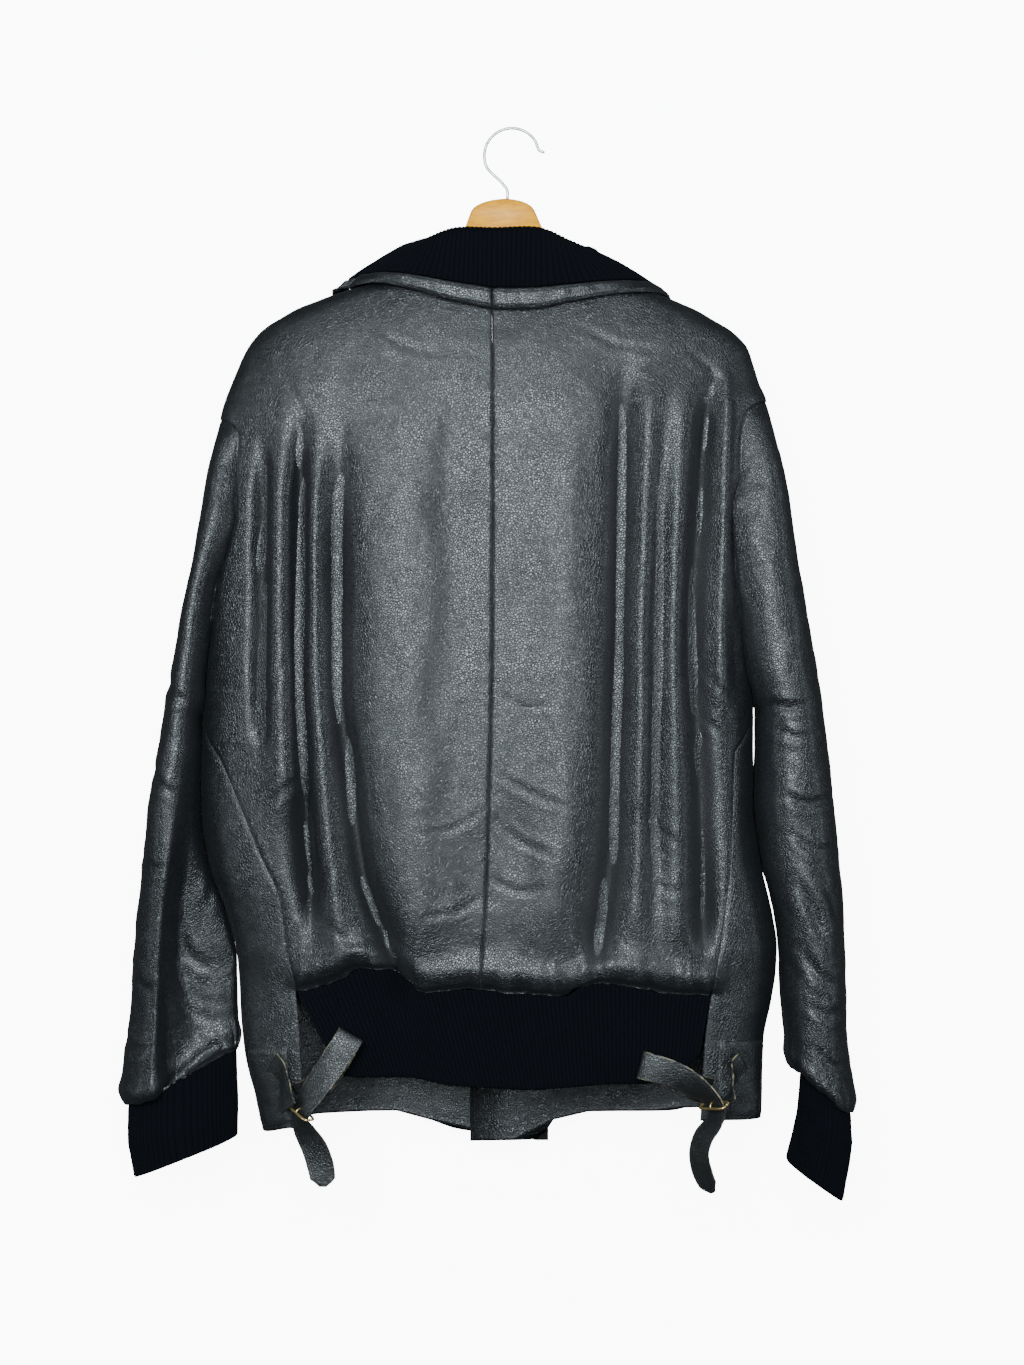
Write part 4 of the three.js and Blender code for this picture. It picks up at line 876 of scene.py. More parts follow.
def grain_group() -> bpy.types.NodeTree:
    """Build the leather grain: small pebbles, pores and fine creases between them.

    Returns:
        The node group.
    """
    tree, nodes = new_group(
        "leather grain", {"Pebble": 480.0, "Crease": 170.0, "Wrinkle": 34.0}, ("Height", "Polish"))
    start = nodes.add("NodeGroupInput")
    place = nodes.add("ShaderNodeTexCoord")
    warp = nodes.add("ShaderNodeTexNoise", Scale=55.0, Detail=2.0)
    nodes.join(place.outputs["Object"], warp.inputs["Vector"])
    bend = nodes.add("ShaderNodeVectorMath", operation="SCALE")
    bend.inputs["Scale"].default_value = 0.006
    nodes.join(warp.outputs["Color"], bend.inputs[0])
    moved = nodes.add("ShaderNodeVectorMath", operation="ADD")
    nodes.join(place.outputs["Object"], moved.inputs[0])
    nodes.join(bend.outputs[0], moved.inputs[1])
    pebble = nodes.add("ShaderNodeTexVoronoi", feature="DISTANCE_TO_EDGE")
    nodes.join(moved.outputs[0], pebble.inputs["Vector"])
    nodes.join(start.outputs["Pebble"], pebble.inputs["Scale"])
    crease = nodes.add("ShaderNodeTexVoronoi", feature="DISTANCE_TO_EDGE")
    nodes.join(moved.outputs[0], crease.inputs["Vector"])
    nodes.join(start.outputs["Crease"], crease.inputs["Scale"])
    wrinkle = nodes.add("ShaderNodeTexNoise", Detail=5.0, Roughness=0.62, Distortion=0.6)
    nodes.join(place.outputs["Object"], wrinkle.inputs["Vector"])
    nodes.join(start.outputs["Wrinkle"], wrinkle.inputs["Scale"])
    small = nodes.band(pebble.outputs["Distance"], 0.0, 0.22)
    fine = nodes.band(crease.outputs["Distance"], 0.0, 0.07)
    patch = nodes.add("ShaderNodeTexNoise", Scale=9.0, Detail=3.0)
    nodes.join(place.outputs["Object"], patch.inputs["Vector"])
    shows = nodes.band(patch.outputs["Fac"], 0.42, 0.62)
    broken = nodes.maths("MULTIPLY", nodes.maths("SUBTRACT", 1.0, fine), shows)
    height = nodes.maths("MULTIPLY", small, 0.34)
    height = nodes.maths("SUBTRACT", height, nodes.maths("MULTIPLY", broken, 0.05))
    height = nodes.maths("ADD", height, nodes.maths("MULTIPLY", wrinkle.outputs["Fac"], 0.75))
    end = nodes.add("NodeGroupOutput")
    nodes.join(height, end.inputs["Height"])
    nodes.join(nodes.maths("MULTIPLY", small, wrinkle.outputs["Fac"]), end.inputs["Polish"])
    return tree


def wear_and_shade_group() -> bpy.types.NodeTree:
    """Build the leather's rubbed crests and scuffed rims, and the painted shade that darkens its grooves.

    Returns:
        The node group.
    """
    tree, nodes = new_group("leather wear", {"Rim Width": 2.2, "Amount": 1.0}, ("Crest", "Rim", "Groove"))
    start = nodes.add("NodeGroupInput")
    relief = nodes.add("ShaderNodeAttribute", attribute_name="relief")
    rim = nodes.add("ShaderNodeAttribute", attribute_name="rim")
    place = nodes.add("ShaderNodeTexCoord")
    scuff = nodes.add("ShaderNodeTexNoise", Scale=120.0, Detail=6.0, Roughness=0.7)
    nodes.join(place.outputs["Object"], scuff.inputs["Vector"])
    broken = nodes.band(scuff.outputs["Fac"], 0.45, 0.62)
    crest = nodes.band(relief.outputs["Fac"], 1.2, 3.6)
    # Painted shade: grooves of the relief get a darker colour, standing in for the shade that falls in them.
    groove = nodes.band(relief.outputs["Fac"], -1.2, -5.0)
    near = nodes.maths("DIVIDE", rim.outputs["Fac"], start.outputs["Rim Width"])
    close = nodes.maths("SUBTRACT", 1.0, nodes.band(near, 0.0, 1.0))
    end = nodes.add("NodeGroupOutput")
    nodes.join(nodes.maths("MULTIPLY", nodes.maths("MULTIPLY", crest, broken), start.outputs["Amount"]),
               end.inputs["Crest"])
    nodes.join(nodes.maths("MULTIPLY", nodes.maths("MULTIPLY", close, broken), start.outputs["Amount"]),
               end.inputs["Rim"])
    nodes.join(groove, end.inputs["Groove"])
    return tree


def knit_group() -> bpy.types.NodeTree:
    """Build the loops of the knit: slanted stitches that stack up along each rib.

    Returns:
        The node group.
    """
    tree, nodes = new_group("knit loops", {"Pitch": 0.0032, "Stitch": 0.0017}, ("Height", "Fuzz"))
    start = nodes.add("NodeGroupInput")
    flat = nodes.add("ShaderNodeUVMap", uv_map="cloth")
    split = nodes.add("ShaderNodeSeparateXYZ")
    nodes.join(flat.outputs["UV"], split.inputs[0])
    across = nodes.maths("DIVIDE", split.outputs["X"], start.outputs["Pitch"])
    lean = nodes.maths("PINGPONG", nodes.maths("MULTIPLY", across, 2.0), 0.5)
    down = nodes.maths("ADD", nodes.maths("DIVIDE", split.outputs["Y"], start.outputs["Stitch"]), lean)
    wave = nodes.maths("SINE", nodes.maths("MULTIPLY", down, 2 * math.pi))
    place = nodes.add("ShaderNodeTexCoord")
    fuzz = nodes.add("ShaderNodeTexNoise", Scale=1400.0, Detail=3.0, Roughness=0.7)
    nodes.join(place.outputs["Object"], fuzz.inputs["Vector"])
    end = nodes.add("NodeGroupOutput")
    nodes.join(nodes.maths("ADD", nodes.maths("MULTIPLY", wave, 0.5), fuzz.outputs["Fac"]),
               end.inputs["Height"])
    nodes.join(fuzz.outputs["Fac"], end.inputs["Fuzz"])
    return tree


class Effects:
    """The shared shader effects, each built once."""

    def __init__(self) -> None:
        """Build the node groups."""
        self.grain = grain_group()
        self.wear_and_shade = wear_and_shade_group()
        self.knit = knit_group()


def start_material(name: str, base: tuple[float, float, float], rough: float) -> tuple[Nodes, bpy.types.Node]:
    """Start a material and return a helper for its nodes and its shader.

    Args:
        name: The material's name.
        base: The plain colour, which is also the colour in solid view.
        rough: The plain roughness.

    Returns:
        A helper that places nodes and the shader node.
    """
    material = bpy.data.materials.new(name)
    material.use_nodes = True
    material.diffuse_color = (*base, 1.0)
    shader = material.node_tree.nodes["Principled BSDF"]
    shader.inputs["Base Color"].default_value = (*base, 1.0)
    shader.inputs["Roughness"].default_value = rough
    return Nodes(material.node_tree), shader


@dataclass(frozen=True)
class LeatherFinish:
    """Soft grained leather, worn at its crests and edges, with painted shade in its grooves."""

    name: str = "worn leather"
    # dark is the painted shade colour of the grooves; rubbed and edge are wear.
    dark: tuple[float, float, float] = (0.0012, 0.0015, 0.0021)
    base: tuple[float, float, float] = (0.0042, 0.0050, 0.0060)
    rubbed: tuple[float, float, float] = (0.010, 0.0112, 0.012)
    edge: tuple[float, float, float] = (0.018, 0.019, 0.020)
    rough: float = 0.32
    bump: float = 0.5
    pebble: float = 480.0
    rim_width: float = 1.6

    def material(self, effects: Effects) -> bpy.types.Material:
        """Return the finished material.

        Args:
            effects: The shared node groups.

        Returns:
            The material.
        """
        nodes, shader = start_material(self.name, self.base, self.rough)
        grain = nodes.add("ShaderNodeGroup", node_tree=effects.grain)
        grain.inputs["Pebble"].default_value = self.pebble
        wear_and_shade = nodes.add("ShaderNodeGroup", node_tree=effects.wear_and_shade)
        wear_and_shade.inputs["Rim Width"].default_value = self.rim_width
        # Painted shade darkens the grooves; the rubbed crests and scuffed rims are wear.
        colour = nodes.blend(wear_and_shade.outputs["Groove"], self.base, self.dark)
        colour = nodes.blend(wear_and_shade.outputs["Crest"], colour, self.rubbed)
        colour = nodes.blend(wear_and_shade.outputs["Rim"], colour, self.edge)
        nodes.join(colour, shader.inputs["Base Color"])
        rough = nodes.band(grain.outputs["Polish"], 0.1, 0.7, self.rough + 0.1, self.rough - 0.06)
        rough = nodes.maths("ADD", rough, nodes.maths("MULTIPLY", wear_and_shade.outputs["Groove"], 0.3))
        nodes.join(rough, shader.inputs["Roughness"])
        bump = nodes.add("ShaderNodeBump", Strength=self.bump, Distance=0.0012)
        nodes.join(grain.outputs["Height"], bump.inputs["Height"])
        nodes.join(bump.outputs["Normal"], shader.inputs["Normal"])
        shader.inputs["Specular IOR Level"].default_value = 0.5
        shader.inputs["Sheen Weight"].default_value = 0.01
        shader.inputs["Sheen Roughness"].default_value = 0.6
        return bpy.data.materials[self.name]


@dataclass(frozen=True)
class KnitFinish:
    """Matte rib knit, with a painted highlight on its raised ribs."""

    name: str = "rib knit"
    base: tuple[float, float, float] = (0.0012, 0.0014, 0.0024)
    # high is the painted highlight colour of the raised ribs.
    high: tuple[float, float, float] = (0.0034, 0.0042, 0.0066)
    pitch: float = 0.0032
    stitch: float = 0.0017

    def material(self, effects: Effects) -> bpy.types.Material:
        """Return the finished material.

        Args:
            effects: The shared node groups.

        Returns:
            The material.
        """
        nodes, shader = start_material(self.name, self.base, 0.95)
        knit = nodes.add("ShaderNodeGroup", node_tree=effects.knit)
        knit.inputs["Pitch"].default_value = self.pitch
        knit.inputs["Stitch"].default_value = self.stitch
        # Painted highlight: the raised ribs turn lighter in patches of the fuzz noise, as if lit.
        relief = nodes.add("ShaderNodeAttribute", attribute_name="relief")
        raised = nodes.band(relief.outputs["Fac"], 0.0, 0.9)
        lit = nodes.maths("MULTIPLY", raised, nodes.band(knit.outputs["Fuzz"], 0.25, 0.75))
        nodes.join(nodes.blend(lit, self.base, self.high), shader.inputs["Base Color"])
        bump = nodes.add("ShaderNodeBump", Strength=0.6, Distance=0.0005)
        nodes.join(knit.outputs["Height"], bump.inputs["Height"])
        nodes.join(bump.outputs["Normal"], shader.inputs["Normal"])
        shader.inputs["Specular IOR Level"].default_value = 0.06
        shader.inputs["Sheen Weight"].default_value = 0.01
        shader.inputs["Sheen Roughness"].default_value = 0.5
        shader.inputs["Sheen Tint"].default_value = (0.5, 0.58, 0.75, 1.0)
        return bpy.data.materials[self.name]


@dataclass(frozen=True)
class WoodFinish:
    """Varnished beech with long growth lines and short flecks."""

    name: str = "beech"
    pale: tuple[float, float, float] = (0.8, 0.35, 0.001)
    deep: tuple[float, float, float] = (0.66, 0.25, 0.001)

    def material(self, effects: Effects) -> bpy.types.Material:
        """Return the finished material.

        Args:
            effects: The shared node groups, which this finish leaves out.

        Returns:
            The material.
        """
        nodes, shader = start_material(self.name, self.pale, 0.42)
        place = nodes.add("ShaderNodeTexCoord")
        stretch = nodes.add("ShaderNodeMapping")
        stretch.inputs["Scale"].default_value = (90.0, 60.0, 320.0)
        stretch.inputs["Rotation"].default_value = (0.0, 0.5, 0.0)
        nodes.join(place.outputs["Object"], stretch.inputs["Vector"])
        lines = nodes.add("ShaderNodeTexNoise", Scale=1.0, Detail=6.0, Roughness=0.6)
        nodes.join(stretch.outputs["Vector"], lines.inputs["Vector"])
        fleck = nodes.add("ShaderNodeTexVoronoi", Scale=2.5)
        nodes.join(stretch.outputs["Vector"], fleck.inputs["Vector"])
        grain = nodes.band(lines.outputs["Fac"], 0.38, 0.64)
        spots = nodes.band(fleck.outputs["Distance"], 0.0, 0.16, 0.35, 0.0)
        share = nodes.maths("ADD", grain, spots)
        nodes.join(nodes.blend(share, self.pale, self.deep), shader.inputs["Base Color"])
        nodes.join(nodes.band(lines.outputs["Fac"], 0.3, 0.7, 0.36, 0.5), shader.inputs["Roughness"])
        bump = nodes.add("ShaderNodeBump", Strength=0.15, Distance=0.0004)
        nodes.join(lines.outputs["Fac"], bump.inputs["Height"])
        nodes.join(bump.outputs["Normal"], shader.inputs["Normal"])
        shader.inputs["Coat Weight"].default_value = 0.04
        shader.inputs["Coat Roughness"].default_value = 0.25
        return bpy.data.materials[self.name]


@dataclass(frozen=True)
class MetalFinish:
    """Metal with fine scratches and a little tarnish."""

    name: str
    bright: tuple[float, float, float]
    dull: tuple[float, float, float]
    rough: float

    def material(self, effects: Effects) -> bpy.types.Material:
        """Return the finished material.

        Args:
            effects: The shared node groups, which this finish leaves out.

        Returns:
            The material.
        """
        nodes, shader = start_material(self.name, self.bright, self.rough)
        place = nodes.add("ShaderNodeTexCoord")
        cloud = nodes.add("ShaderNodeTexNoise", Scale=240.0, Detail=5.0, Roughness=0.65)
        nodes.join(place.outputs["Object"], cloud.inputs["Vector"])
        share = nodes.band(cloud.outputs["Fac"], 0.42, 0.68)
        nodes.join(nodes.blend(share, self.bright, self.dull), shader.inputs["Base Color"])
        rough = nodes.band(cloud.outputs["Fac"], 0.3, 0.7, self.rough - 0.05, self.rough + 0.15)
        nodes.join(rough, shader.inputs["Roughness"])
        shader.inputs["Metallic"].default_value = 1.0
        bump = nodes.add("ShaderNodeBump", Strength=0.1, Distance=0.0002)
        nodes.join(cloud.outputs["Fac"], bump.inputs["Height"])
        nodes.join(bump.outputs["Normal"], shader.inputs["Normal"])
        return bpy.data.materials[self.name]


@dataclass(frozen=True)
class ThreadFinish:
    """Waxed thread, or the moulded plastic of a button."""

    name: str
    base: tuple[float, float, float]
    rough: float = 0.6
    scale: float = 2200.0

    def material(self, effects: Effects) -> bpy.types.Material:
        """Return the finished material.

        Args:
            effects: The shared node groups, which this finish leaves out.

        Returns:
            The material.
        """
        nodes, shader = start_material(self.name, self.base, self.rough)
        place = nodes.add("ShaderNodeTexCoord")
        twist = nodes.add("ShaderNodeTexNoise", Scale=self.scale, Detail=3.0)
        nodes.join(place.outputs["Object"], twist.inputs["Vector"])
        lighter = tuple(min(1.0, c * 1.8) for c in self.base)
        share = nodes.band(twist.outputs["Fac"], 0.4, 0.7)
        nodes.join(nodes.blend(share, self.base, lighter), shader.inputs["Base Color"])
        bump = nodes.add("ShaderNodeBump", Strength=0.3, Distance=0.0002)
        nodes.join(twist.outputs["Fac"], bump.inputs["Height"])
        nodes.join(bump.outputs["Normal"], shader.inputs["Normal"])
        return bpy.data.materials[self.name]


class Wardrobe:
    """The materials of the jacket and its hanger, each made once."""

    def __init__(self) -> None:
        """Make every material."""
        effects = Effects()
        self.leather = LeatherFinish().material(effects)
        self.strap = LeatherFinish(
            name="strap leather", base=(0.0052, 0.006, 0.0062), edge=(0.24, 0.21, 0.13),
            rubbed=(0.02, 0.02, 0.018), rough=0.36, rim_width=0.9,
        ).material(effects)
        self.knit = KnitFinish().material(effects)
        self.waist_knit = KnitFinish(name="waist rib knit", pitch=0.0038, stitch=0.0019).material(effects)
        self.wood = WoodFinish().material(effects)
        self.brass = MetalFinish("brass", (0.62, 0.44, 0.16), (0.28, 0.19, 0.08), 0.3).material(effects)
        self.chrome = MetalFinish("chrome wire", (0.5, 0.51, 0.53), (0.3, 0.31, 0.33), 0.22).material(effects)
        self.thread = ThreadFinish("black thread", (0.013, 0.013, 0.014)).material(effects)
        self.button = ThreadFinish("button plastic", (0.012, 0.012, 0.013), 0.35, 300.0).material(effects)


def dress(piece: bpy.types.Object, material: bpy.types.Material, slot: Slot, *nodes: str) -> bpy.types.Object:
    """Give a piece its material, let it ride on the jacket and stand for its solids.

    Args:
        piece: The piece to dress.
        material: Its material.
        slot: Not used.
        nodes: The names of the solids that it stands for, if any.

    Returns:
        The same piece.
    """
    piece.data.materials.clear()
    piece.data.materials.append(material)
    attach(piece, BODY)
    if nodes:
        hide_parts(*nodes)
    LOG.info("%s: %d faces", piece.name, len(piece.data.polygons))
    return piece


def stitches(name: str, lines: list[tuple[np.ndarray, np.ndarray]], length: float = 2.6, gap: float = 1.1,
             radius: float = 0.3) -> bpy.types.Object:
    """Make rows of stitches that lie on a surface.

    Args:
        name: The name of the new piece.
        lines: For each row, its points and the surface's normals there.
        length: The length of a stitch in millimetres.
        gap: The gap between two stitches.
        radius: Half the thickness of the thread.

    Returns:
        One piece that holds every stitch.
    """
    points: list[np.ndarray] = []
    faces: list[list[int]] = []
    angle = np.linspace(0.0, 2 * math.pi, 6, endpoint=False)
    for line, lean in lines:
        run = run_of(line)
        count = int(run[-1] / (length + gap))
        for k in range(count):
            ends = np.array([0.0, 0.18, 0.5, 0.82, 1.0]) * length + k * (length + gap) + gap / 2
            spine = np.stack([np.interp(ends, run, line[:, a]) for a in range(3)], axis=1)
            up = unit(np.stack([np.interp(ends, run, lean[:, a]) for a in range(3)], axis=1))
            along = unit(spine[-1] - spine[0])
            side = unit(np.cross(up, along))
            girth = np.array([0.35, 0.9, 1.0, 0.9, 0.35]) * radius
            rise = np.array([-0.6, 0.35, 0.6, 0.35, -0.6]) * radius
            centre = spine + up * rise[:, None]
            ring = centre[:, None] + girth[:, None, None] * (
                np.cos(angle)[None, :, None] * side[:, None] + np.sin(angle)[None, :, None] * up[:, None])
            base = len(points) * 30
            points.append(ring.reshape(-1, 3))
            index = np.arange(30).reshape(5, 6) + base
            nexts = np.roll(index, -1, axis=1)
            quads = np.stack([index[:-1], nexts[:-1], nexts[1:], index[1:]], axis=-1)
            faces.extend(quads.reshape(-1, 4).tolist())
            faces.append(index[0][::-1].tolist())
            faces.append(index[-1].tolist())
    mesh = bpy.data.meshes.new(name)
    mesh.from_pydata((np.vstack(points) * MM).tolist(), [], faces)
    return piece_of(name, mesh)


def grid_line(cloth: Cloth, rows: np.ndarray, columns: np.ndarray) -> tuple[np.ndarray, np.ndarray]:
    """Return a line of points and normals along places of a sheet's grid.

    Args:
        cloth: The sheet.
        rows: Places along its rows, which may lie between two.
        columns: Places along its columns, as many.

    Returns:
        The points and the normals there.
    """
    normals = cloth.normals()
    r0 = np.clip(np.floor(rows).astype(int), 0, cloth.outer.shape[0] - 2)
    c0 = np.clip(np.floor(columns).astype(int), 0, cloth.outer.shape[1] - 2)
    rf = (rows - r0)[:, None]
    cf = (columns - c0)[:, None]

    def pick(grid: np.ndarray) -> np.ndarray:
        """Return values between the grid's points."""
        top = mix(grid[r0, c0], grid[r0, c0 + 1], cf)
        return mix(top, mix(grid[r0 + 1, c0], grid[r0 + 1, c0 + 1], cf), rf)

    return pick(cloth.outer), unit(pick(normals))


@dataclass
class BodyPanels:
    """The two halves of the back and the two fronts, joined at the seams."""

    wardrobe: Wardrobe
    back_columns: int = 104
    front_columns: int = 72
    front_crowd: float = 1.35
    placket_left: float = 33.0
    placket_right: float = -38.0
    backs: dict[Side, Cloth] = field(default_factory=dict)
    fronts: dict[Side, Cloth] = field(default_factory=dict)
    plain_backs: dict[Side, np.ndarray] = field(default_factory=dict)
    plain_fronts: dict[Side, np.ndarray] = field(default_factory=dict)
    creases: tuple[Crease, ...] = (
        Crease(((45, -409), (70, -416), (92, -420)), 2.2, -1.1),
        Crease(((30, -440), (66, -436)), 2.0, -0.8),
        Crease(((-12, -500), (10, -512), (40, -510)), 2.6, -1.2),
        Crease(((-12, -570), (20, -588), (52, -600)), 3.0, -1.4),
        Crease(((-14, -610), (6, -628), (34, -640)), 3.0, -1.4),
        Crease(((-22, -660), (4, -672), (36, -668)), 3.0, -1.4),
        Crease(((-24, -600), (-52, -618), (-86, -622)), 2.6, -1.0),
        Crease(((-26, -676), (-50, -690), (-84, -694)), 3.0, -1.3),
        Crease(((-176, -566), (-206, -590), (-224, -612)), 3.6, -1.8),
        Crease(((-150, -640), (-166, -668), (-186, -690)), 3.8, -2.0),
        Crease(((-196, -470), (-214, -500), (-232, -514)), 3.4, -1.6),
        Crease(((-160, -700), (-140, -716), (-118, -712)), 3.4, -1.6),
        Crease(((110, -600), (132, -622), (152, -634)), 3.2, -1.5),
        Crease(((112, -660), (140, -672), (164, -668)), 3.2, -1.5),
        Crease(((168, -480), (186, -500), (202, -504)), 3.0, -1.8),
        Crease(((166, -520), (184, -536), (196, -536)), 3.0, -1.6),
        Crease(((-120, -180), (-96, -196), (-60, -204)), 3.4, -0.8),
        Crease(((60, -180), (92, -196), (130, -200)), 3.4, -0.9),
        Crease(((150, -196), (172, -214), (190, -240)), 3.4, -1.4),
        Crease(((-214, -214), (-196, -228), (-176, -262)), 3.4, -1.2),
    )

    def rows(self, side: Side, middle_top: float) -> list[tuple[float, float, float]]:
        """Return each row's height at the middle, its height at the edge and its level.

        Args:
            side: The side of the jacket.
            middle_top: The height of the neck at the middle.

        Returns:
            One entry for each row, from the top down.
        """
        top, under = FORM.arm_top(side), FORM.underarm(side)
        ridge = max(FORM.edge(side).knots[0])
        upper = [(mix(middle_top, top, k), mix(ridge, top, k), k) for k in np.linspace(0.0, 1.0, 52)]
        arm = [(z, z, 1.0) for z in mix(top, under, np.linspace(0.0, 1.0, 92)[1:] ** 1.25)]
        lower = [(z, z, 1.0) for z in mix(under, FORM.waist, np.linspace(0.0, 1.0, 66)[1:] ** 1.2)]
        return [*upper, *arm, *lower]

    def row(self, side: Side, row: tuple[float, float, float], front: bool) -> np.ndarray:
        """Return one row of a panel, from the middle to its outer edge.

        Args:
            side: The side of the jacket.
            row: The row's two heights and its level.
            front: Whether the panel is a front.

        Returns:
            The points.
        """
        middle_z, edge_z, level = row
        s = np.linspace(0.0, 1.0, 150)
        share = np.sin(s * math.pi / 2) ** 0.85
        if level < 1.0:
            rise = 1.0 - np.sqrt(np.maximum(0.0, 1.0 - share**2)) if front else share**2.5
            z = mix(middle_z, edge_z, rise)
            middle = FORM.centre.at(z)
            reach = np.abs(FORM.edge(side).at(edge_z) - middle)
            turn = FORM.turn_at(side, middle + side.sign * reach * share, z, front)
            turn[-1] = 1.0
            line = FORM.body(side, turn, z)
        elif front:
            line = FORM.body(side, mix(2.0, FORM.front_end(side, edge_z), s), edge_z)
        else:
            line = FORM.body(side, mix(0.0, FORM.back_end(side, edge_z), s), edge_z)
            full = float(run_of(FORM.body(side, s, edge_z))[-1])
            return drawn_in(line, self.back_columns, full)
        count = self.front_columns if front else self.back_columns
        return evenly(line, count, self.front_crowd if front else 1.0)

    def lapped(self, side: Side, grid: np.ndarray) -> np.ndarray:
        """Stretch a front past the middle to its placket edge.

        Args:
            side: The side of the jacket.
            grid: The front's grid.

        Returns:
            The stretched grid.
        """
        edge = self.placket_left if side is Side.LEFT else self.placket_right
        start = grid[:, :1, 0]
        off = np.abs(grid[..., 0] - start)
        ahead = grid[..., 1] >= 0.0
        x = grid[..., 0] + (edge - start) * np.clip(1.0 - off / 70.0, 0.0, 1.0) ** 1.5
        under = 2.2 * smooth((130.0 - off) / 55.0) if side is Side.RIGHT else 0.0 * off
        out = grid.copy()
        out[..., 0] = np.where(ahead, x, grid[..., 0])
        out[..., 1] = np.where(ahead, grid[..., 1] - under, grid[..., 1])
        return out

    def back_grid(self, side: Side) -> np.ndarray:
        """Return the plain grid of half of the back, down to the rib's seam.

        Args:
            side: The side of the jacket.

        Returns:
            The grid of points.
        """
        rows = [self.row(side, row, False) for row in self.rows(side, FORM.neck_back)]
        last = rows.pop()
        share = (last[:, 0] - last[0, 0]) / (last[-1, 0] - last[0, 0])
        seam = FORM.rib_seam.at(last[:, 0]) + 0.1
        for k in 1.0 - (1.0 - np.linspace(0.0, 1.0, 44)) ** 1.3:
            z = mix(FORM.waist, seam, k)
            x = mix(FORM.centre.at(z), FORM.side_seam(side).at(z), share)
            rows.append(FORM.body(side, FORM.turn_at(side, x, z), z))
        return np.array(rows)

    def front_grid(self, side: Side) -> np.ndarray:
        """Return the plain grid of a front, down to its hem.

        Args:
            side: The side of the jacket.

        Returns:
            The grid of points.
        """
        rows = [self.row(side, row, True) for row in self.rows(side, FORM.neck_front)]
        levels = np.linspace(FORM.waist, -915.0, 87)
        ladder = np.array([self.row(side, (z, z, 1.0), True) for z in levels])
        last = ladder[np.argmin(np.abs(levels + 800.0))]
        columns = np.arange(self.front_columns)
        hem = FORM.front_hem.at(last[:, 0])
        for k in np.linspace(0.0, 1.0, 84)[1:]:
            z = mix(FORM.waist, hem, k)
            place = (levels[0] - z) / (levels[0] - levels[-1]) * (len(levels) - 1)
            low = np.clip(place.astype(int), 0, len(levels) - 2)
            rows.append(mix(ladder[low, columns], ladder[low + 1, columns], (place - low)[:, None]))
        return self.lapped(side, np.array(rows))

    def relief(self, grid: np.ndarray, back: bool) -> np.ndarray:
        """Return the smaller creases and waves of the leather on a grid.

        Args:
            grid: The grid of points.
            back: Whether the grid is of the back.

        Returns:
            How far each point stands out, in millimetres.
        """
        x, y, z = grid[..., 0], grid[..., 1], grid[..., 2]
        height = 1.1 * lattice_noise(grid, (46.0, 60.0, 70.0), 3)
        height += 0.55 * lattice_noise(grid, (17.0, 30.0, 34.0), 5)
        height += 0.14 * lattice_noise(grid, (8.0, 12.0, 10.0), 9)
        sides = smooth((np.abs(x - FORM.centre.at(z)) - 90.0) / 70.0)
        height += sides * 0.35 * lattice_noise(grid, (16.0, 30.0, 90.0), 11)
        if back:
            behind = smooth((-y - 12.0) / 10.0)
            height += 0.55 * behind * sum(c.height(x, z) for c in self.creases)
            above = z - FORM.rib_seam.at(x)
            gather = lattice_noise(points_of(x, 0.0 * x, 0.0 * x), (9.0, 1.0, 1.0), 21)
            gather += 0.7 * lattice_noise(points_of(x, 0.0 * x, 0.0 * x), (4.6, 1.0, 1.0), 22)
            reach = 16.0 + 14.0 * lattice_noise(points_of(x, 0.0 * x, 0.0 * x), (16.0, 1.0, 1.0), 23)
            height += 2.0 * gather * np.exp(-above / np.maximum(reach, 6.0))
            seam = np.abs(x - FORM.centre.at(z))
            pull = lattice_noise(points_of(0.0 * x, 0.0 * x, z), (1.0, 1.0, 15.0), 31)
            height += 0.7 * pull * np.exp(-seam / 12.0)
        return height

    def build(self) -> None:
        """Make the four panels."""
        for side in Side:
            plain = self.back_grid(side)
            self.plain_backs[side] = plain
            back = Cloth(plain, -side.sign, LEATHER)
            back.push(self.relief(plain, True))
            back.soften_rims(0.55, 0.9, 0.3, 0.9)
            self.backs[side] = back
            plain = self.front_grid(side)
            self.plain_fronts[side] = plain
            front = Cloth(plain, side.sign, LEATHER)
            front.push(self.relief(plain, False))
            front.soften_rims(0.3, 0.9, 0.3, 0.4)
            self.fronts[side] = front
        for side in Side:
            self.join(side)
            self.make(f"back {side.value}", self.backs[side], f"back_{side.value}")
            self.make(f"front {side.value}", self.fronts[side], f"front_{side.value}")
        self.stitch_fronts()

    def inner_line(self, side: Side, rows: np.ndarray, off: float) -> tuple[np.ndarray, np.ndarray]:
        """Return a line on the inner face of a front, at a distance from its placket edge.

        Args:
            side: The side of the jacket.
            rows: The rows that the line passes.
            off: How far it lies from the placket edge, in millimetres.

        Returns:
            The line's points and the normals there.
        """
        cloth = self.fronts[side]
        places = np.arange(self.front_columns)
        columns = np.array([np.interp(off, run_of(cloth.outer[int(r)]), places) for r in rows])
        line, lean = grid_line(cloth, rows, columns)
        return line - lean * (cloth.thick - 0.05), -lean

    def stitch_fronts(self) -> None:
        """Sew the hems and the placket facing, which show from behind below the rib."""
        lines = []
        for side in Side:
            cloth = self.fronts[side]
            last = cloth.outer.shape[0] - 1
            columns = np.linspace(1.0, self.front_columns - 2.0, 260)
            for up in (2.0, 5.6):
                line, lean = grid_line(cloth, np.full(260, last - up), columns)
                lines.append((line - lean * (cloth.thick - 0.05), -lean))
            if side is Side.RIGHT:
                rows = np.linspace(last - 60.0, last - 7.0, 120)
                lines.extend(self.inner_line(side, rows, off) for off in (4.0, 9.0, 73.0))
        thread = stitches("front_stitches", lines, 2.8, 1.4, 0.32)
        dress(thread, self.wardrobe.thread, Slot.LEATHER)

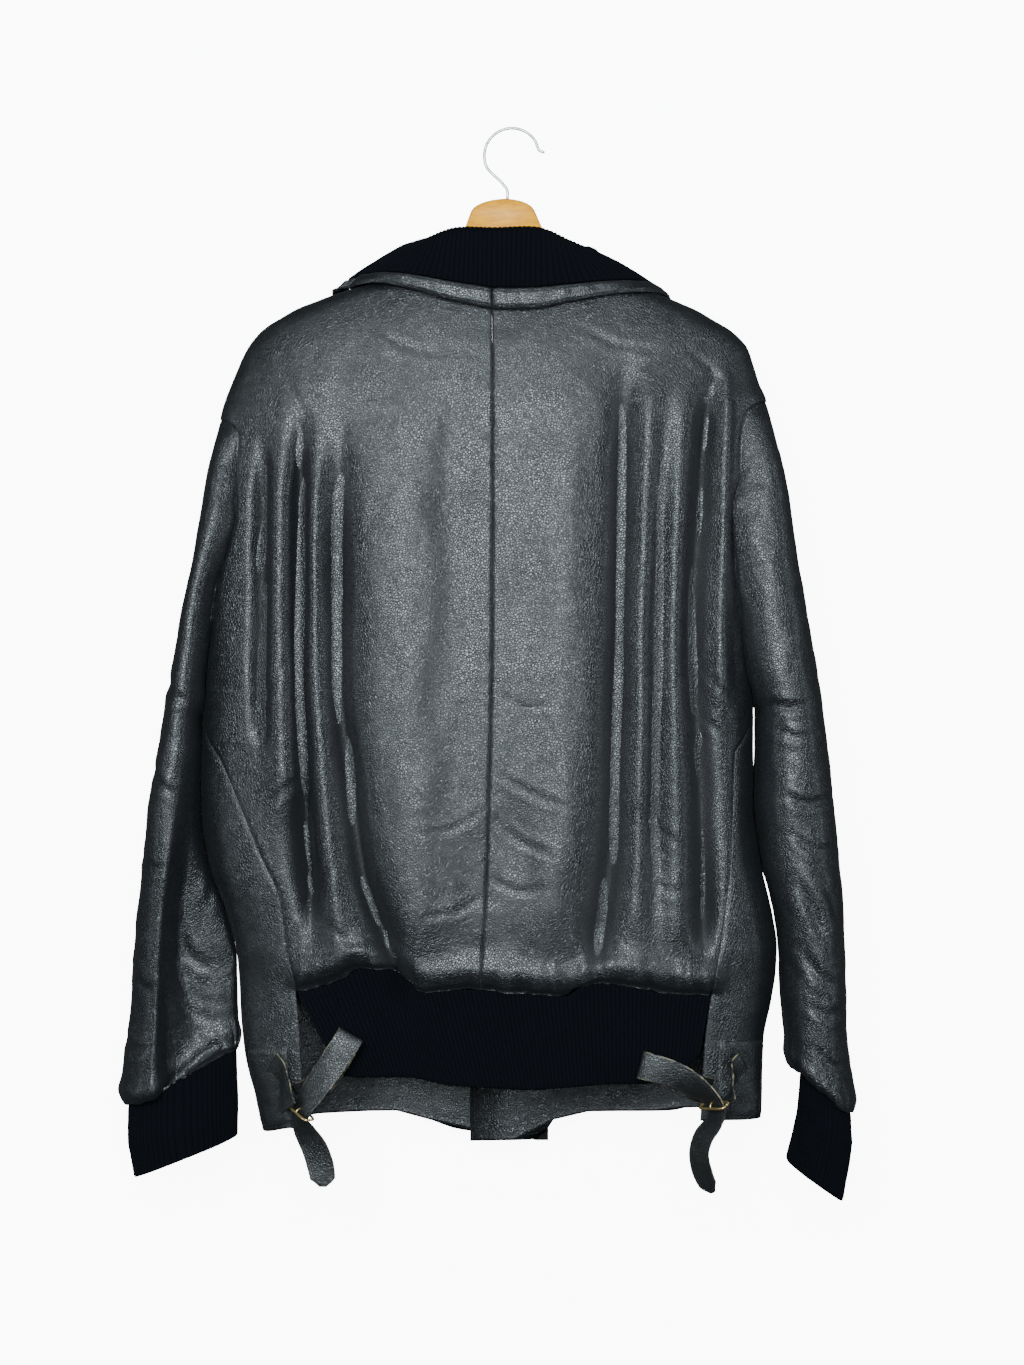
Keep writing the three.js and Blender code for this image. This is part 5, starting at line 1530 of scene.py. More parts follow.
    def join(self, side: Side) -> None:
        """Bring the rims of a back and a front together where they are sewn.

        Args:
            side: The side of the jacket.
        """
        back, front = self.backs[side], self.fronts[side]
        top, under = FORM.arm_top(side), FORM.underarm(side)
        rows = min(back.outer.shape[0], front.outer.shape[0])
        for j in range(rows):
            z = self.plain_backs[side][j, -1, 2]
            apart = float(np.linalg.norm(back.outer[j, -1] - front.outer[j, -1]))
            if (z > top or z < under) and apart < 6.0:
                middle = (back.outer[j, -1] + front.outer[j, -1]) / 2
                back.outer[j, -1] = middle
                front.outer[j, -1] = middle

    def make(self, label: str, cloth: Cloth, node: str) -> None:
        """Args:
            label: The panel's name in plain words.
            cloth: Its sheet.
            node: The name of the solid that it stands for.
        """
        name = label.replace(" ", "_") + "_leather"
        x, z = cloth.outer[..., 0], cloth.outer[..., 2]
        # The back's big folds join the relief attribute, so that the painted groove shade and the rubbed
        # crests follow them as well.
        folds = sum(f.height(x, z) for f in FORM.back_folds) if label.startswith("back") else 0.0
        piece = wall_mesh(name, cloth.outer, cloth.inner(5), cloth.relief + 0.6 * folds)
        dress(piece, self.wardrobe.leather, Slot.LEATHER, node)
        area = cloth.area()
        size = np.ptp(cloth.outer.reshape(-1, 3), axis=0) * MM
        flat = (max(area / size[2], 0.02) * PANEL_SLACK_WIDE, size[2] * PANEL_SLACK_LONG)
        area = min(area, flat[0] * flat[1])


@dataclass
class Sleeves:
    """Two sleeves with dropped armholes, and the rib cuffs below them."""

    wardrobe: Wardrobe
    panels: BodyPanels
    columns: int = 150
    left_outer: Table = Table((
        (-258, -258), (-311, -270), (-382, -282), (-453, -296), (-523, -308), (-594, -320),
        (-665, -328), (-736, -336), (-772, -340), (-807, -347), (-830, -349), (-848, -349), (-862, -345),
    ))
    right_outer: Table = Table((
        (-242, 225), (-311, 243), (-382, 254), (-453, 266), (-523, 276), (-594, 285), (-665, 291),
        (-736, 295), (-772, 296), (-807, 299), (-825, 302), (-847, 305), (-872, 304),
    ))
    left_inner: Table = Table((
        (-258, -250), (-305, -244), (-402, -262), (-516, -274), (-530, -274.8), (-608, -275.4),
        (-652, -268.4), (-692, -253.6), (-736, -243.7), (-801, -239.8), (-872, -239),
    ))
    right_inner: Table = Table((
        (-242, 215), (-300, 201), (-400, 200), (-510, 215.4), (-525, 215.2), (-594, 214.2), (-648, 221),
        (-700, 233), (-740, 237.6), (-772, 242), (-830, 247), (-872, 251),
    ))
    depth: Table = Table(((0, 10), (20, 30), (60, 43), (140, 50), (260, 53), (400, 52), (640, 46)))
    near_fold: Table = Table((
        (-516, -276), (-582, -286), (-647, -297), (-692, -303), (-782, -309), (-872, -313),
    ))
    beyond: Table = Table(((-530, 1), (-600, 0.62), (-680, 0.3), (-760, 0.18), (-872, 0.12)))
    tuck: Table = Table(((0, 0), (0.68, 0), (0.9, 0.04), (0.985, 0.3), (1, 1)))
    straight: float = -736.0
    creases: tuple[Crease, ...] = (
        Crease(((222, -506), (240, -512), (262, -508)), 3.2, -2.0),
        Crease(((226, -528), (246, -538), (270, -534)), 3.0, -1.4),
        Crease(((236, -588), (256, -596), (284, -590)), 3.6, -2.2),
        Crease(((240, -620), (262, -636), (286, -634)), 3.2, -1.6),
        Crease(((246, -660), (262, -690), (272, -716)), 4.2, -2.2),
        Crease(((262, -650), (280, -680), (290, -712)), 4.0, -1.8),
        Crease(((250, -720), (266, -744), (282, -756)), 4.0, -2.0),
        Crease(((256, -770), (274, -780), (294, -776)), 3.6, -1.6),
        Crease(((262, -806), (278, -824), (298, -828)), 3.4, -1.8),
        Crease(((-308, -480), (-296, -500), (-280, -508)), 3.4, -1.6),
        Crease(((-318, -560), (-304, -580), (-290, -588)), 3.4, -1.6),
        Crease(((-326, -640), (-312, -652), (-302, -652)), 3.4, -1.4),
        Crease(((-336, -740), (-322, -756), (-312, -758)), 3.6, -1.6),
        Crease(((-344, -800), (-330, -812), (-316, -808)), 3.6, -1.6),
        Crease(((-300, -700), (-286, -730), (-264, -746)), 4.2, -2.0),
        Crease(((-302, -760), (-284, -782), (-256, -790)), 4.0, -1.8),
        Crease(((-250, -640), (-262, -662), (-268, -690)), 4.0, -1.6),
    )
    cloths: dict[Side, Cloth] = field(default_factory=dict)

    def outer(self, side: Side) -> Table:
        """Return the outline of a sleeve's outer side."""
        return self.left_outer if side is Side.LEFT else self.right_outer

    def section(self, side: Side, angle: np.ndarray, z: np.ndarray) -> np.ndarray:
        """Return points of a sleeve: angle pi is its inner side and 0 its outer side.

        Args:
            side: The side of the jacket.
            angle: Angles round the sleeve, in radians.
            z: Heights in millimetres.

        Returns:
            The points.
        """
        outer_x = self.outer(side).at(z)
        inner_x = (self.left_inner if side is Side.LEFT else self.right_inner).at(z)
        depth = self.depth.at(FORM.arm_top(side) - z)
        power = 2 / 2.4
        c, s = np.cos(angle), np.sin(angle)
        x = (outer_x + inner_x) / 2 + (outer_x - inner_x) / 2 * np.sign(c) * np.abs(c) ** power
        y = -depth * np.sign(s) * np.abs(s) ** power
        if side is Side.LEFT:
            past = smooth((x - self.near_fold.at(z) + 3.0) / 15.0)
            y = np.where(s > 0.0, y * mix(1.0, self.beyond.at(z), past), y)
        return points_of(x, y, z)

    def cuff(self, side: Side, share: np.ndarray, t: np.ndarray) -> np.ndarray:
        """Return points of a cuff: share goes round it and t from its seam to its mouth.

        Args:
            side: The side of the jacket.
            share: Shares of the way round, from 0 to 1.
            t: How far down each point lies, from 0 to 1.

        Returns:
            The points.
        """
        if side is Side.LEFT:
            inner = np.array([(-244, -812), (-243, -866), (-243, -890)], float)
            outer = np.array([(-338, -862), (-338, -897), (-333, -926)], float)
            depth, y = np.array([20.0, 22.0, 20.0]), -10.0
        else:
            inner = np.array([(257, -829), (253, -872), (244, -913)], float)
            outer = np.array([(298, -868), (300, -895), (292, -947)], float)
            depth, y = np.array([36.0, 38.0, 34.0]), -4.0
        stops = np.array([0.0, 0.5, 1.0])
        a = [np.interp(t, stops, inner[:, axis]) for axis in range(2)]
        b = [np.interp(t, stops, outer[:, axis]) for axis in range(2)]
        deep = np.interp(t, stops, depth)
        angle = math.pi * (1.0 - 2.0 * share)
        c, s = np.cos(angle), np.sin(angle)
        across = 0.5 + 0.5 * np.sign(c) * np.abs(c) ** 0.8
        return points_of(
            mix(a[0], b[0], across), y - deep * np.sign(s) * np.abs(s) ** 0.8, mix(a[1], b[1], across))

    def hem(self, side: Side, share: np.ndarray) -> np.ndarray:
        """Return the heights of a sleeve's hem round it.

        Args:
            side: The side of the jacket.
            share: Shares of the way round, from 0 to 1.

        Returns:
            One height for each share, in millimetres.
        """
        outer, inner, front = (-862, -812, -845) if side is Side.LEFT else (-870, -829, -850)
        angle = math.pi * (1.0 - 2.0 * share)
        to_outer = 0.5 + 0.5 * np.cos(angle)
        to_front = np.maximum(0.0, -np.sin(angle))
        return mix(mix(inner, outer, smooth(to_outer * 1.2)), front, to_front * 0.6)

    def grid(self, side: Side) -> np.ndarray:
        """Return the plain grid of a sleeve, from the armhole to the cuff.

        Args:
            side: The side of the jacket.

        Returns:
            The grid of points.
        """
        top, under = FORM.arm_top(side), FORM.underarm(side)
        back, front = self.panels.backs[side].outer, self.panels.fronts[side].outer
        plain = self.panels.plain_backs[side]
        rows = []
        for j in range(min(len(back), len(front))):
            z = plain[j, -1, 2]
            if not under - 0.2 <= z < top - 0.3:
                continue
            end = math.pi * mix(0.5, 1.0, max(0.0, (top - z) / (top - under)) ** 1.4)
            angle = np.linspace(end, -end, 200)
            line = self.section(side, angle, np.full(200, z))
            share = np.abs(angle / end) ** 3
            gap_a = back[j, -1] - line[0]
            gap_b = front[j, -1] - line[-1]
            lift = np.where((angle > 0.0)[:, None], gap_a, gap_b)
            rows.append(evenly(line + lift * share[:, None], self.columns))
        for z in mix(under, self.straight, np.linspace(0.0, 1.0, 76)[1:]):
            angle = np.linspace(math.pi - 0.006, 0.006 - math.pi, 260)
            rows.append(evenly(self.section(side, angle, np.full(260, z)), self.columns))
        last = rows[-1]
        share = np.linspace(0.0, 1.0, self.columns)
        ring = self.cuff(side, mix(0.003, 0.997, share), np.zeros(self.columns))
        hem = self.hem(side, share)
        for k in 1.0 - (1.0 - np.linspace(0.0, 1.0, 50)[1:]) ** 1.3:
            z = mix(self.straight, hem, k)
            wide = self.section(side, math.pi * (1.0 - 2.0 * share), z)
            own = last + (wide - last) * k * 0.8
            own[:, 2] = z
            rows.append(mix(own, ring, float(self.tuck.at(k))))
        return np.array(rows)

    def relief(self, side: Side, grid: np.ndarray) -> np.ndarray:
        """Return the creases and waves of a sleeve.

        Args:
            side: The side of the jacket.
            grid: The grid of points.

        Returns:
            How far each point stands out, in millimetres.
        """
        x, y, z = grid[..., 0], grid[..., 1], grid[..., 2]
        height = 1.2 * lattice_noise(grid, (26.0, 40.0, 60.0), 41)
        height += 0.8 * lattice_noise(grid, (15.0, 20.0, 24.0), 43)
        height += 0.3 * lattice_noise(grid, (7.0, 9.0, 9.0), 45)
        height *= smooth((FORM.arm_top(side) - z) / 50.0)
        behind = smooth((-y - 4.0) / 10.0)
        height += behind * sum(c.height(x, z) for c in self.creases)
        run = np.linspace(0.0, 1.0, grid.shape[1])[None] * 240.0
        hem = self.hem(side, np.linspace(0.0, 1.0, grid.shape[1]))[None]
        above = z - hem
        line = points_of(np.broadcast_to(run, x.shape), 0.0 * x, 0.0 * x)
        pucker = lattice_noise(line, (8.0, 1.0, 1.0), 51) + 0.6 * lattice_noise(line, (4.0, 1.0, 1.0), 52)
        height += 1.9 * pucker * np.exp(-np.maximum(above, 0.0) / 15.0) * smooth(above / 4.0)
        height += 2.4 * np.exp(-(((above - 13.0) / 9.0) ** 2))
        return height

    def build(self) -> None:
        """Make the sleeves and the cuffs."""
        for side in Side:
            plain = self.grid(side)
            cloth = Cloth(plain, -side.sign, LEATHER)
            cloth.push(self.relief(side, plain))
            cloth.soften_rims(0.5, 0.5, 0.4, 0.6)
            rows = [j for j, p in enumerate(plain) if p[0, 2] >= FORM.underarm(side) - 0.2]
            cloth.outer[rows, 0] = plain[rows, 0]
            cloth.outer[rows, -1] = plain[rows, -1]
            cloth.outer[-1] = plain[-1]
            self.cloths[side] = cloth
            name = f"sleeve_{side.value}_leather"
            piece = wall_mesh(name, cloth.outer, cloth.inner(5), cloth.relief)
            dress(piece, self.wardrobe.leather, Slot.LEATHER, f"sleeve_{side.value}")
            area = cloth.area()
            flat = (area / SLEEVE_HANGS * SLACK, SLEEVE_CUT_LONG)
            area = min(area, flat[0] * flat[1])
            self.build_cuff(side)

    def build_cuff(self, side: Side) -> None:
        """Make one rib cuff.

        Args:
            side: The side of the jacket.
        """
        ribs, steps = 62, 8
        share = np.linspace(0.003, 0.997, ribs * steps)
        levels = np.linspace(0.0, 1.0, 34)
        grid = np.array([self.cuff(side, share, np.full(share.shape, t)) for t in levels])
        cloth = Cloth(grid, -side.sign, KNIT)
        wave = rib_profile(np.linspace(0.0, ribs, ribs * steps))
        fade = smooth(np.minimum(levels / 0.05, (1.0 - levels) / 0.03))
        soft = 0.9 * lattice_noise(grid, (22.0, 22.0, 26.0), 61 + int(side.sign))
        cloth.push(wave[None] * fade[:, None] * 0.9 + soft * smooth(levels * 3.0)[:, None])
        piece = wall_mesh(f"cuff_{side.value}_knit", cloth.outer, cloth.inner(6), wave[None] * fade[:, None])
        dress(piece, self.wardrobe.knit, Slot.KNIT, f"cuff_{side.value}")
        area = cloth.area()


def rib_profile(place: np.ndarray) -> np.ndarray:
    """Return the height of a knit's ribs: round backs with narrow grooves between them."""
    return np.abs(np.sin(math.pi * place)) ** 0.75


@dataclass
class WaistRib:
    """The rib waistband across the back, between the side seams."""

    wardrobe: Wardrobe
    panels: BodyPanels
    pitch: float = 3.83

    def build(self) -> None:
        """Make the waistband."""
        left, right = (self.panels.plain_backs[side][-1] for side in Side)
        top = np.vstack([left[::-1], right[1:]])
        ribs = round((top[-1, 0] - top[0, 0]) / self.pitch)
        steps = 8
        share = np.linspace(0.0, 1.0, ribs * steps + 1)
        start_x = mix(top[0, 0] + 0.6, top[-1, 0] - 0.6, share)
        start = np.stack([np.interp(start_x, top[:, 0], top[:, axis]) for axis in range(3)], axis=1)
        bottom_x = mix(-150.0, 164.0, share)
        bottom_z = FORM.rib_bottom.at(bottom_x)
        rows = []
        levels = np.linspace(0.0, 1.0, 44)
        for t in levels:
            z = mix(start[:, 2] - 0.3, bottom_z, t)
            x = mix(start[:, 0], bottom_x, t)
            own = np.where(
                x < FORM.centre.at(z),
                FORM.body(Side.LEFT, FORM.turn_at(Side.LEFT, x, z), z)[:, 1],
                FORM.body(Side.RIGHT, FORM.turn_at(Side.RIGHT, x, z), z)[:, 1],
            )
            rows.append(points_of(x, mix(start[:, 1] + 1.2, own + 1.0, smooth(t * 6.0)), z))
        cloth = Cloth(np.array(rows), 1.0, KNIT)
        if cloth.normals()[10, 10, 1] > 0:
            cloth.facing = -1.0
        wave = rib_profile(np.linspace(0.0, ribs, share.size))
        fade = smooth(np.minimum(1.0, (1.0 - levels) / 0.03))
        soft = 1.0 * lattice_noise(cloth.outer, (40.0, 40.0, 50.0), 71)
        soft += 0.35 * lattice_noise(cloth.outer, (12.0, 12.0, 30.0), 72)
        cloth.push(wave[None] * fade[:, None] * 0.9 + soft * smooth(levels * 4.0)[:, None])
        piece = wall_mesh("waist_rib_knit", cloth.outer, cloth.inner(6), wave[None] * fade[:, None])
        dress(piece, self.wardrobe.waist_knit, Slot.KNIT, "waist_rib")
        area = cloth.area()


@dataclass
class Collar:
    """The rib collar, folded down, with a leather border along its edge."""

    wardrobe: Wardrobe
    panels: BodyPanels
    band_starts: float = 0.76
    bulge: float = 5.0
    clear: float = 4.0
    end: float = 1.97
    left_fold: tuple[tuple[float, float, float], ...] = (
        (-17.5, -42, -93), (-50, -41, -93), (-75, -32, -101), (-101, -3, -107), (-97, 24, -123),
        (-62, 42, -160), (-17.5, 46, -184),
    )
    right_fold: tuple[tuple[float, float, float], ...] = (
        (-17.5, -42, -93), (24, -41, -93), (50, -33, -103), (85, -4, -116), (82, 24, -130),
        (44, 42, -162), (-17.5, 46, -184),
    )
    left_edge_x: Table = Table((
        (0, -17.5), (0.3, -52), (0.55, -90), (0.78, -122), (0.93, -148), (1.03, -160), (1.2, -156),
        (1.5, -120), (2, -22),
    ))
    left_edge_z: Table = Table((
        (0, -165), (0.3, -158), (0.55, -147), (0.78, -141), (0.93, -143), (1.03, -147), (1.2, -164),
        (1.5, -205), (2, -250),
    ))
    right_edge_x: Table = Table((
        (0, -17.5), (0.25, 12), (0.5, 50), (0.75, 95), (0.92, 128), (1.03, 142), (1.2, 138),
        (1.5, 98), (2, -13),
    ))
    right_edge_z: Table = Table((
        (0, -165), (0.25, -165.5), (0.5, -159), (0.75, -151), (0.92, -148), (1.03, -151), (1.2, -167),
        (1.5, -207), (2, -250),
    ))

    def clear_of_body(self, side: Side, p: np.ndarray, clear: np.ndarray) -> np.ndarray:
        """Move points out to where they lie clear of the shoulder.

        Args:
            side: The side of the jacket.
            p: The points.
            clear: How far out of the body each has to lie, in millimetres.

        Returns:
            The moved points.
        """
        middle = FORM.centre.at(p[:, 2])
        half = np.abs(FORM.edge(side).at(p[:, 2]) - middle)
        free = (p[:, 2] > max(FORM.edge(side).knots[0])) | (np.abs(p[:, 0] - middle) >= half)
        turn = FORM.turn_at(side, p[:, 0], p[:, 2])
        front = p[:, 1] > 0.0
        surface = np.abs(FORM.body(side, np.where(front, 2.0 - turn, turn), p[:, 2])[:, 1]) + clear
        y = np.maximum(np.abs(p[:, 1]), surface) * np.where(front, 1.0, -1.0)
        out = p.copy()
        out[:, 1] = np.where(free, p[:, 1], y)
        return out

    def neck(self, side: Side, turn: np.ndarray) -> np.ndarray:
        """Return the inner rim of the body at the neck.

        Args:
            side: The side of the jacket.
            turn: 0 at the centre back, 1 at the shoulder, 2 at the centre front.

        Returns:
            The points.
        """
        back, front = self.panels.plain_backs[side][0], self.panels.plain_fronts[side][0]
        k = np.linspace(0.0, 1.0, len(back))
        f = np.linspace(0.0, 1.0, len(front))
        behind = np.stack([np.interp(np.minimum(turn, 1.0), k, back[:, a]) for a in range(3)], axis=1)
        ahead = np.stack([np.interp(2.0 - np.maximum(turn, 1.0), f, front[:, a]) for a in range(3)], axis=1)
        rim = np.where((turn <= 1.0)[:, None], behind, ahead)
        inward = unit(points_of(FORM.centre.at(rim[:, 2]) - rim[:, 0], -rim[:, 1], 0.0 * turn))
        reach = mix(1.6, 3.4, smooth((turn - 1.0) * 6.0))
        return rim + inward * reach[:, None] + np.array([0.0, 0.0, 0.8])

    def surface(self, side: Side, turn: np.ndarray, way: float) -> np.ndarray:
        """Return points of the collar.

        Args:
            side: The side of the neck.
            turn: 0 at the centre back, 1 at the shoulder, 2 at the centre front.
            way: 0 at the neck seam, 1 at the fold and 2 at the outer edge.

        Returns:
            One point for each turn.
        """
        neck = self.neck(side, turn)
        line = self.left_fold if side is Side.LEFT else self.right_fold
        fold = spline(np.array(line), turn / 2.0)
        if way <= 1.0:
            p = mix(neck, fold, way)
            inward = unit(points_of(FORM.centre.at(p[:, 2]) - p[:, 0], -p[:, 1], 0.0 * turn))
            return p - inward * math.sin(math.pi * way) * 1.5
        k = way - 1.0
        edge_x = (self.left_edge_x if side is Side.LEFT else self.right_edge_x).at(turn)
        edge_z = (self.left_edge_z if side is Side.LEFT else self.right_edge_z).at(turn)
        face = np.where(turn < 1.0, -1.0, 1.0)
        rests = self.clear_of_body(side, points_of(edge_x, face * 0.01, edge_z), 0.0 * turn)
        over = np.exp(-(((turn - 1.0) / 0.22) ** 2))
        edge = rests + points_of(0.0 * turn, face * 6.0 * smooth(np.abs(turn - 1.0) * 4.0), 1.6 * over)
        bend = mix(fold, edge, 0.42) + points_of(
            side.sign * 2.0 * over, face * self.bulge * (1.0 - over), self.bulge * over)
        p = mix(mix(fold, bend, k), mix(bend, edge, k), k)
        return self.clear_of_body(side, p, np.full(turn.shape, float(smooth(np.array(k * 6.0))) * self.clear))

    def grid(self, sides: tuple[Side, ...], ways: np.ndarray, count: int) -> np.ndarray:
        """Return a grid of the collar over one side or both, at even lengths along its fold.

        Args:
            sides: The sides that it covers.
            ways: How far over the collar each row lies.
            count: How many points each side has along the fold.

        Returns:
            The grid of points.
        """
        parts = []
        for side in sides:
            fine = np.linspace(0.004, self.end, 400)
            run = run_of(self.surface(side, fine, 1.15))
            turn = np.interp(np.linspace(0.0, run[-1], count), run, fine)
            part = np.array([self.surface(side, turn, float(way)) for way in ways])
            if len(sides) == 1 or side is Side.RIGHT:
                parts.append(part[:, (0 if len(sides) == 1 else 1):])
            else:
                parts.append(part[:, ::-1])
        return np.concatenate(parts, axis=1)

    def build(self) -> None:
        """Make the knit collar and its leather border."""
        ribs, steps = 66, 6
        stand = np.linspace(0.0, 0.9, 12)
        fold = np.linspace(0.92, 1.1, 12)
        fall = np.linspace(1.13, 1.0 + self.band_starts, 22)
        ways = np.concatenate([stand, fold, fall])
        grid = self.grid((Side.LEFT, Side.RIGHT), ways, ribs * steps + 1)
        for _ in range(3):
            grid[1:-1] = (grid[:-2] + 2 * grid[1:-1] + grid[2:]) / 4
        cloth = Cloth(grid, -1.0, KNIT)
        wave = rib_profile(np.linspace(0.0, 2 * ribs, grid.shape[1]))
        soft = 0.8 * lattice_noise(grid, (26.0, 26.0, 26.0), 81)
        fade = smooth(ways * 8.0)[:, None]
        cloth.push(wave[None] * 0.85 * fade + soft * fade)
        piece = wall_mesh("collar_rib_knit", cloth.outer, cloth.inner(6), wave[None] * fade)
        dress(piece, self.wardrobe.knit, Slot.KNIT, "collar_knit")
        area = cloth.area()
        lines = []
        for side in Side:
            lines.extend(self.build_border(side))
        thread = stitches("collar_stitches", lines, 2.4, 1.0, 0.28)
        dress(thread, self.wardrobe.thread, Slot.LEATHER)

    def build_border(self, side: Side) -> list[tuple[np.ndarray, np.ndarray]]:
        """Make one half of the leather border and return the rows of its stitches.

        Args:
            side: The side of the jacket.

        Returns:
            For each row of stitches, its points and the normals there.
        """
        ways = np.linspace(1.0 + self.band_starts + 0.004, 2.0, 22)
        grid = self.grid((side,), ways, 150)
        cloth = Cloth(grid, -side.sign, 3.0)
        across = np.linspace(0.0, 1.0, len(ways))[:, None]
        puff = 1.5 * np.minimum(1.0, np.sin(math.pi * np.clip(across, 0.0, 1.0)) * 2.2)
        wrinkle = 0.5 * lattice_noise(grid, (9.0, 14.0, 12.0), 91)
        wrinkle = wrinkle + 0.3 * lattice_noise(grid, (4.0, 6.0, 6.0), 92)
        dip = 0.7 * (np.exp(-(((across - 0.16) / 0.05) ** 2)) + np.exp(-(((across - 0.84) / 0.05) ** 2)))
        cloth.push(puff + wrinkle - dip)
        cloth.soften_rims(1.0, 0.6, 0.8, 0.8)
        piece = wall_mesh(f"collar_border_{side.value}", cloth.outer, cloth.inner(4), cloth.relief - puff)
        dress(piece, self.wardrobe.leather, Slot.LEATHER, f"collar_band_{side.value}")
        area = cloth.area()
        columns = np.linspace(2.0, 147.0, 300)
        rows = len(ways) - 1
        return [grid_line(cloth, np.full(300, rows * share), columns) for share in (0.17, 0.83)]


@dataclass(frozen=True)
class Station:
    """A place on a strap: its middle, the way its width runs, and its width."""

    at: tuple[float, float, float]
    across: tuple[float, float, float]
    wide: float = 24.0


@dataclass
class Straps:
    """The adjuster straps, their buckles and the short straps that carry these."""

    wardrobe: Wardrobe
    panels: BodyPanels
    long_left: tuple[Station, ...] = (
        Station((-186, -41.6, -851), (0.3, 0.2, -0.85)), Station((-171, -51, -842), (0.5, 0, -0.85)),
        Station((-155, -53, -822), (0.87, 0, -0.5)), Station((-146, -54, -806), (0.87, 0, -0.5)),
        Station((-140.5, -57, -796.5), (0.87, 0, -0.5)),
        Station((-139.5, -61.5, -794.8), (0.87, 0, -0.5)), Station((-144, -65, -802.5), (0.87, 0, -0.5)),
        Station((-158, -66.5, -823), (0.84, -0.2, -0.5)),
        Station((-172, -65.5, -843), (0.75, -0.5, -0.4)),
        Station((-180, -63, -854.5), (0.66, -0.68, -0.3)),
        Station((-183, -60.5, -861), (0.62, -0.75, -0.2)),
        Station((-183.5, -58.5, -869), (0.68, -0.7, 0)), Station((-179, -57, -879), (0.82, -0.55, 0.25)),
        Station((-171, -56, -893), (0.93, -0.25, 0.25)), Station((-166, -55, -908), (1, -0.1, 0.1)),
        Station((-164, -55, -920), (1, 0, 0), 22), Station((-164, -55, -927), (1, 0, 0), 6),
    )
    long_right: tuple[Station, ...] = (
        Station((172, -36.6, -847), (0.4, 0.1, 0.9)), Station((158, -50.5, -841), (0.45, 0, 0.9)),
        Station((141, -53, -831), (0.4, 0, 0.9)), Station((122, -54, -824), (0.3, 0, 0.95)),
        Station((113, -57, -821), (0.25, 0, 0.95)), Station((112, -61.5, -820.5), (0.25, 0, 0.97)),
        Station((122, -65, -823), (0.3, 0, 0.95)), Station((141, -66, -829), (0.4, -0.2, 0.88)),
        Station((158, -65, -839), (0.5, -0.5, 0.7)), Station((170, -62.5, -849), (0.5, -0.75, 0.4)),
        Station((174.5, -60.3, -855.5), (0.5, -0.8, 0.3)), Station((177, -58.5, -863), (0.5, -0.85, 0.2)),
        Station((174, -57, -872), (0.55, -0.82, 0.0)), Station((166, -55.5, -884), (0.6, -0.8, -0.2)),
        Station((162.5, -55, -898), (0.65, -0.75, 0)), Station((165, -55, -913), (0.7, -0.7, 0.1)),
        Station((170, -55, -925), (0.75, -0.65, 0.2), 20),
        Station((174.5, -55, -932), (0.75, -0.65, 0.25), 5),
    )
    buckle_inner: tuple[float, float] = (28.0, 8.0)
    bar: float = 2.4
    steps: int = 8

    def stations(self, side: Side) -> tuple[Station, ...]:
        """Return the stations of a side's long strap."""
        return self.long_left if side is Side.LEFT else self.long_right

    def ribbon(self, name: str, stations: tuple[Station, ...], wide: float, slot: Slot) -> bpy.types.Object:
        """Make a strap with soft edges along given stations.

        Args:
            name: The name of the new piece.
            stations: The places it passes.
            wide: Its full width, which scales the stations' widths.
            slot: The slot of its finish.

        Returns:
            The new piece.
        """
        t = np.linspace(0.0, 1.0, (len(stations) - 1) * self.steps + 1)
        path = spline(np.array([s.at for s in stations]), t)
        across = unit(spline(np.array([s.across for s in stations], float), t))
        stops = np.linspace(0.0, 1.0, len(stations))
        width = np.interp(t, stops, [s.wide for s in stations]) * wide / 24.0
        angle = np.linspace(0.0, 2 * math.pi, 28, endpoint=False)
        c, s = np.cos(angle), np.sin(angle)
        flat_x = np.sign(c) * np.abs(c) ** 0.25
        flat_y = np.sign(s) * np.abs(s) ** 0.5
        pinch = 1.0 - 0.22 * np.exp(-(((np.abs(flat_x) - 0.8) / 0.09) ** 2))
        rise = np.broadcast_to(flat_y * pinch, (len(t), 28)) * STRAP / 2
        section = np.stack([flat_x[None] * width[:, None] / 2, rise], axis=-1)
        curl = 0.9 * (section[..., 0] / np.maximum(width[:, None] / 2, 1.0)) ** 2
        section[..., 1] += curl * np.sin(t * 9.0)[:, None] * 0.8
        piece = swept(name, path, section, across)
        dress(piece, self.wardrobe.strap, slot)
        return piece

    def edge_rows(self, stations: tuple[Station, ...], wide: float) -> list[tuple[np.ndarray, np.ndarray]]:
        """Return rows of stitches along both edges and both faces of a strap.

        Args:
            stations: The places that the strap passes.
            wide: Its full width, which scales the stations' widths.

        Returns:
            For each row of stitches, its points and the normals there.
        """
        t = np.linspace(0.0, 1.0, 400)
        path = spline(np.array([s.at for s in stations]), t)
        across = spline(np.array([s.across for s in stations], float), t)
        along = unit(np.gradient(path, axis=0))
        side = unit(across - along * np.sum(across * along, axis=1, keepdims=True))
        up = np.cross(along, side)
        width = np.interp(t, np.linspace(0.0, 1.0, len(stations)), [s.wide for s in stations]) * wide / 24.0
        rows = []
        for edge in (-1.0, 1.0):
            for face in (-1.0, 1.0):
                line = path + side * (edge * np.maximum(width / 2 - 2.6, 0.2))[:, None]
                rows.append((line + up * face * (STRAP / 2 - 0.12), up * face))
        return rows

    def build(self) -> None:
        """Make the straps, the buckles and their stitches."""
        rows = []
        for side in Side:
            stations = self.stations(side)
            piece = self.ribbon(f"strap_{side.value}_leather", stations, 24.0, Slot.STRAP)
            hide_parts(f"strap_{side.value}")
            rows.extend(self.edge_rows(stations, 24.0))
            self.build_buckle(side)
            rows.extend(self.build_short(side))
            self.build_patch(side)
        dress(stitches("strap_stitches", rows, 2.4, 1.0, 0.26), self.wardrobe.thread, Slot.STRAP)

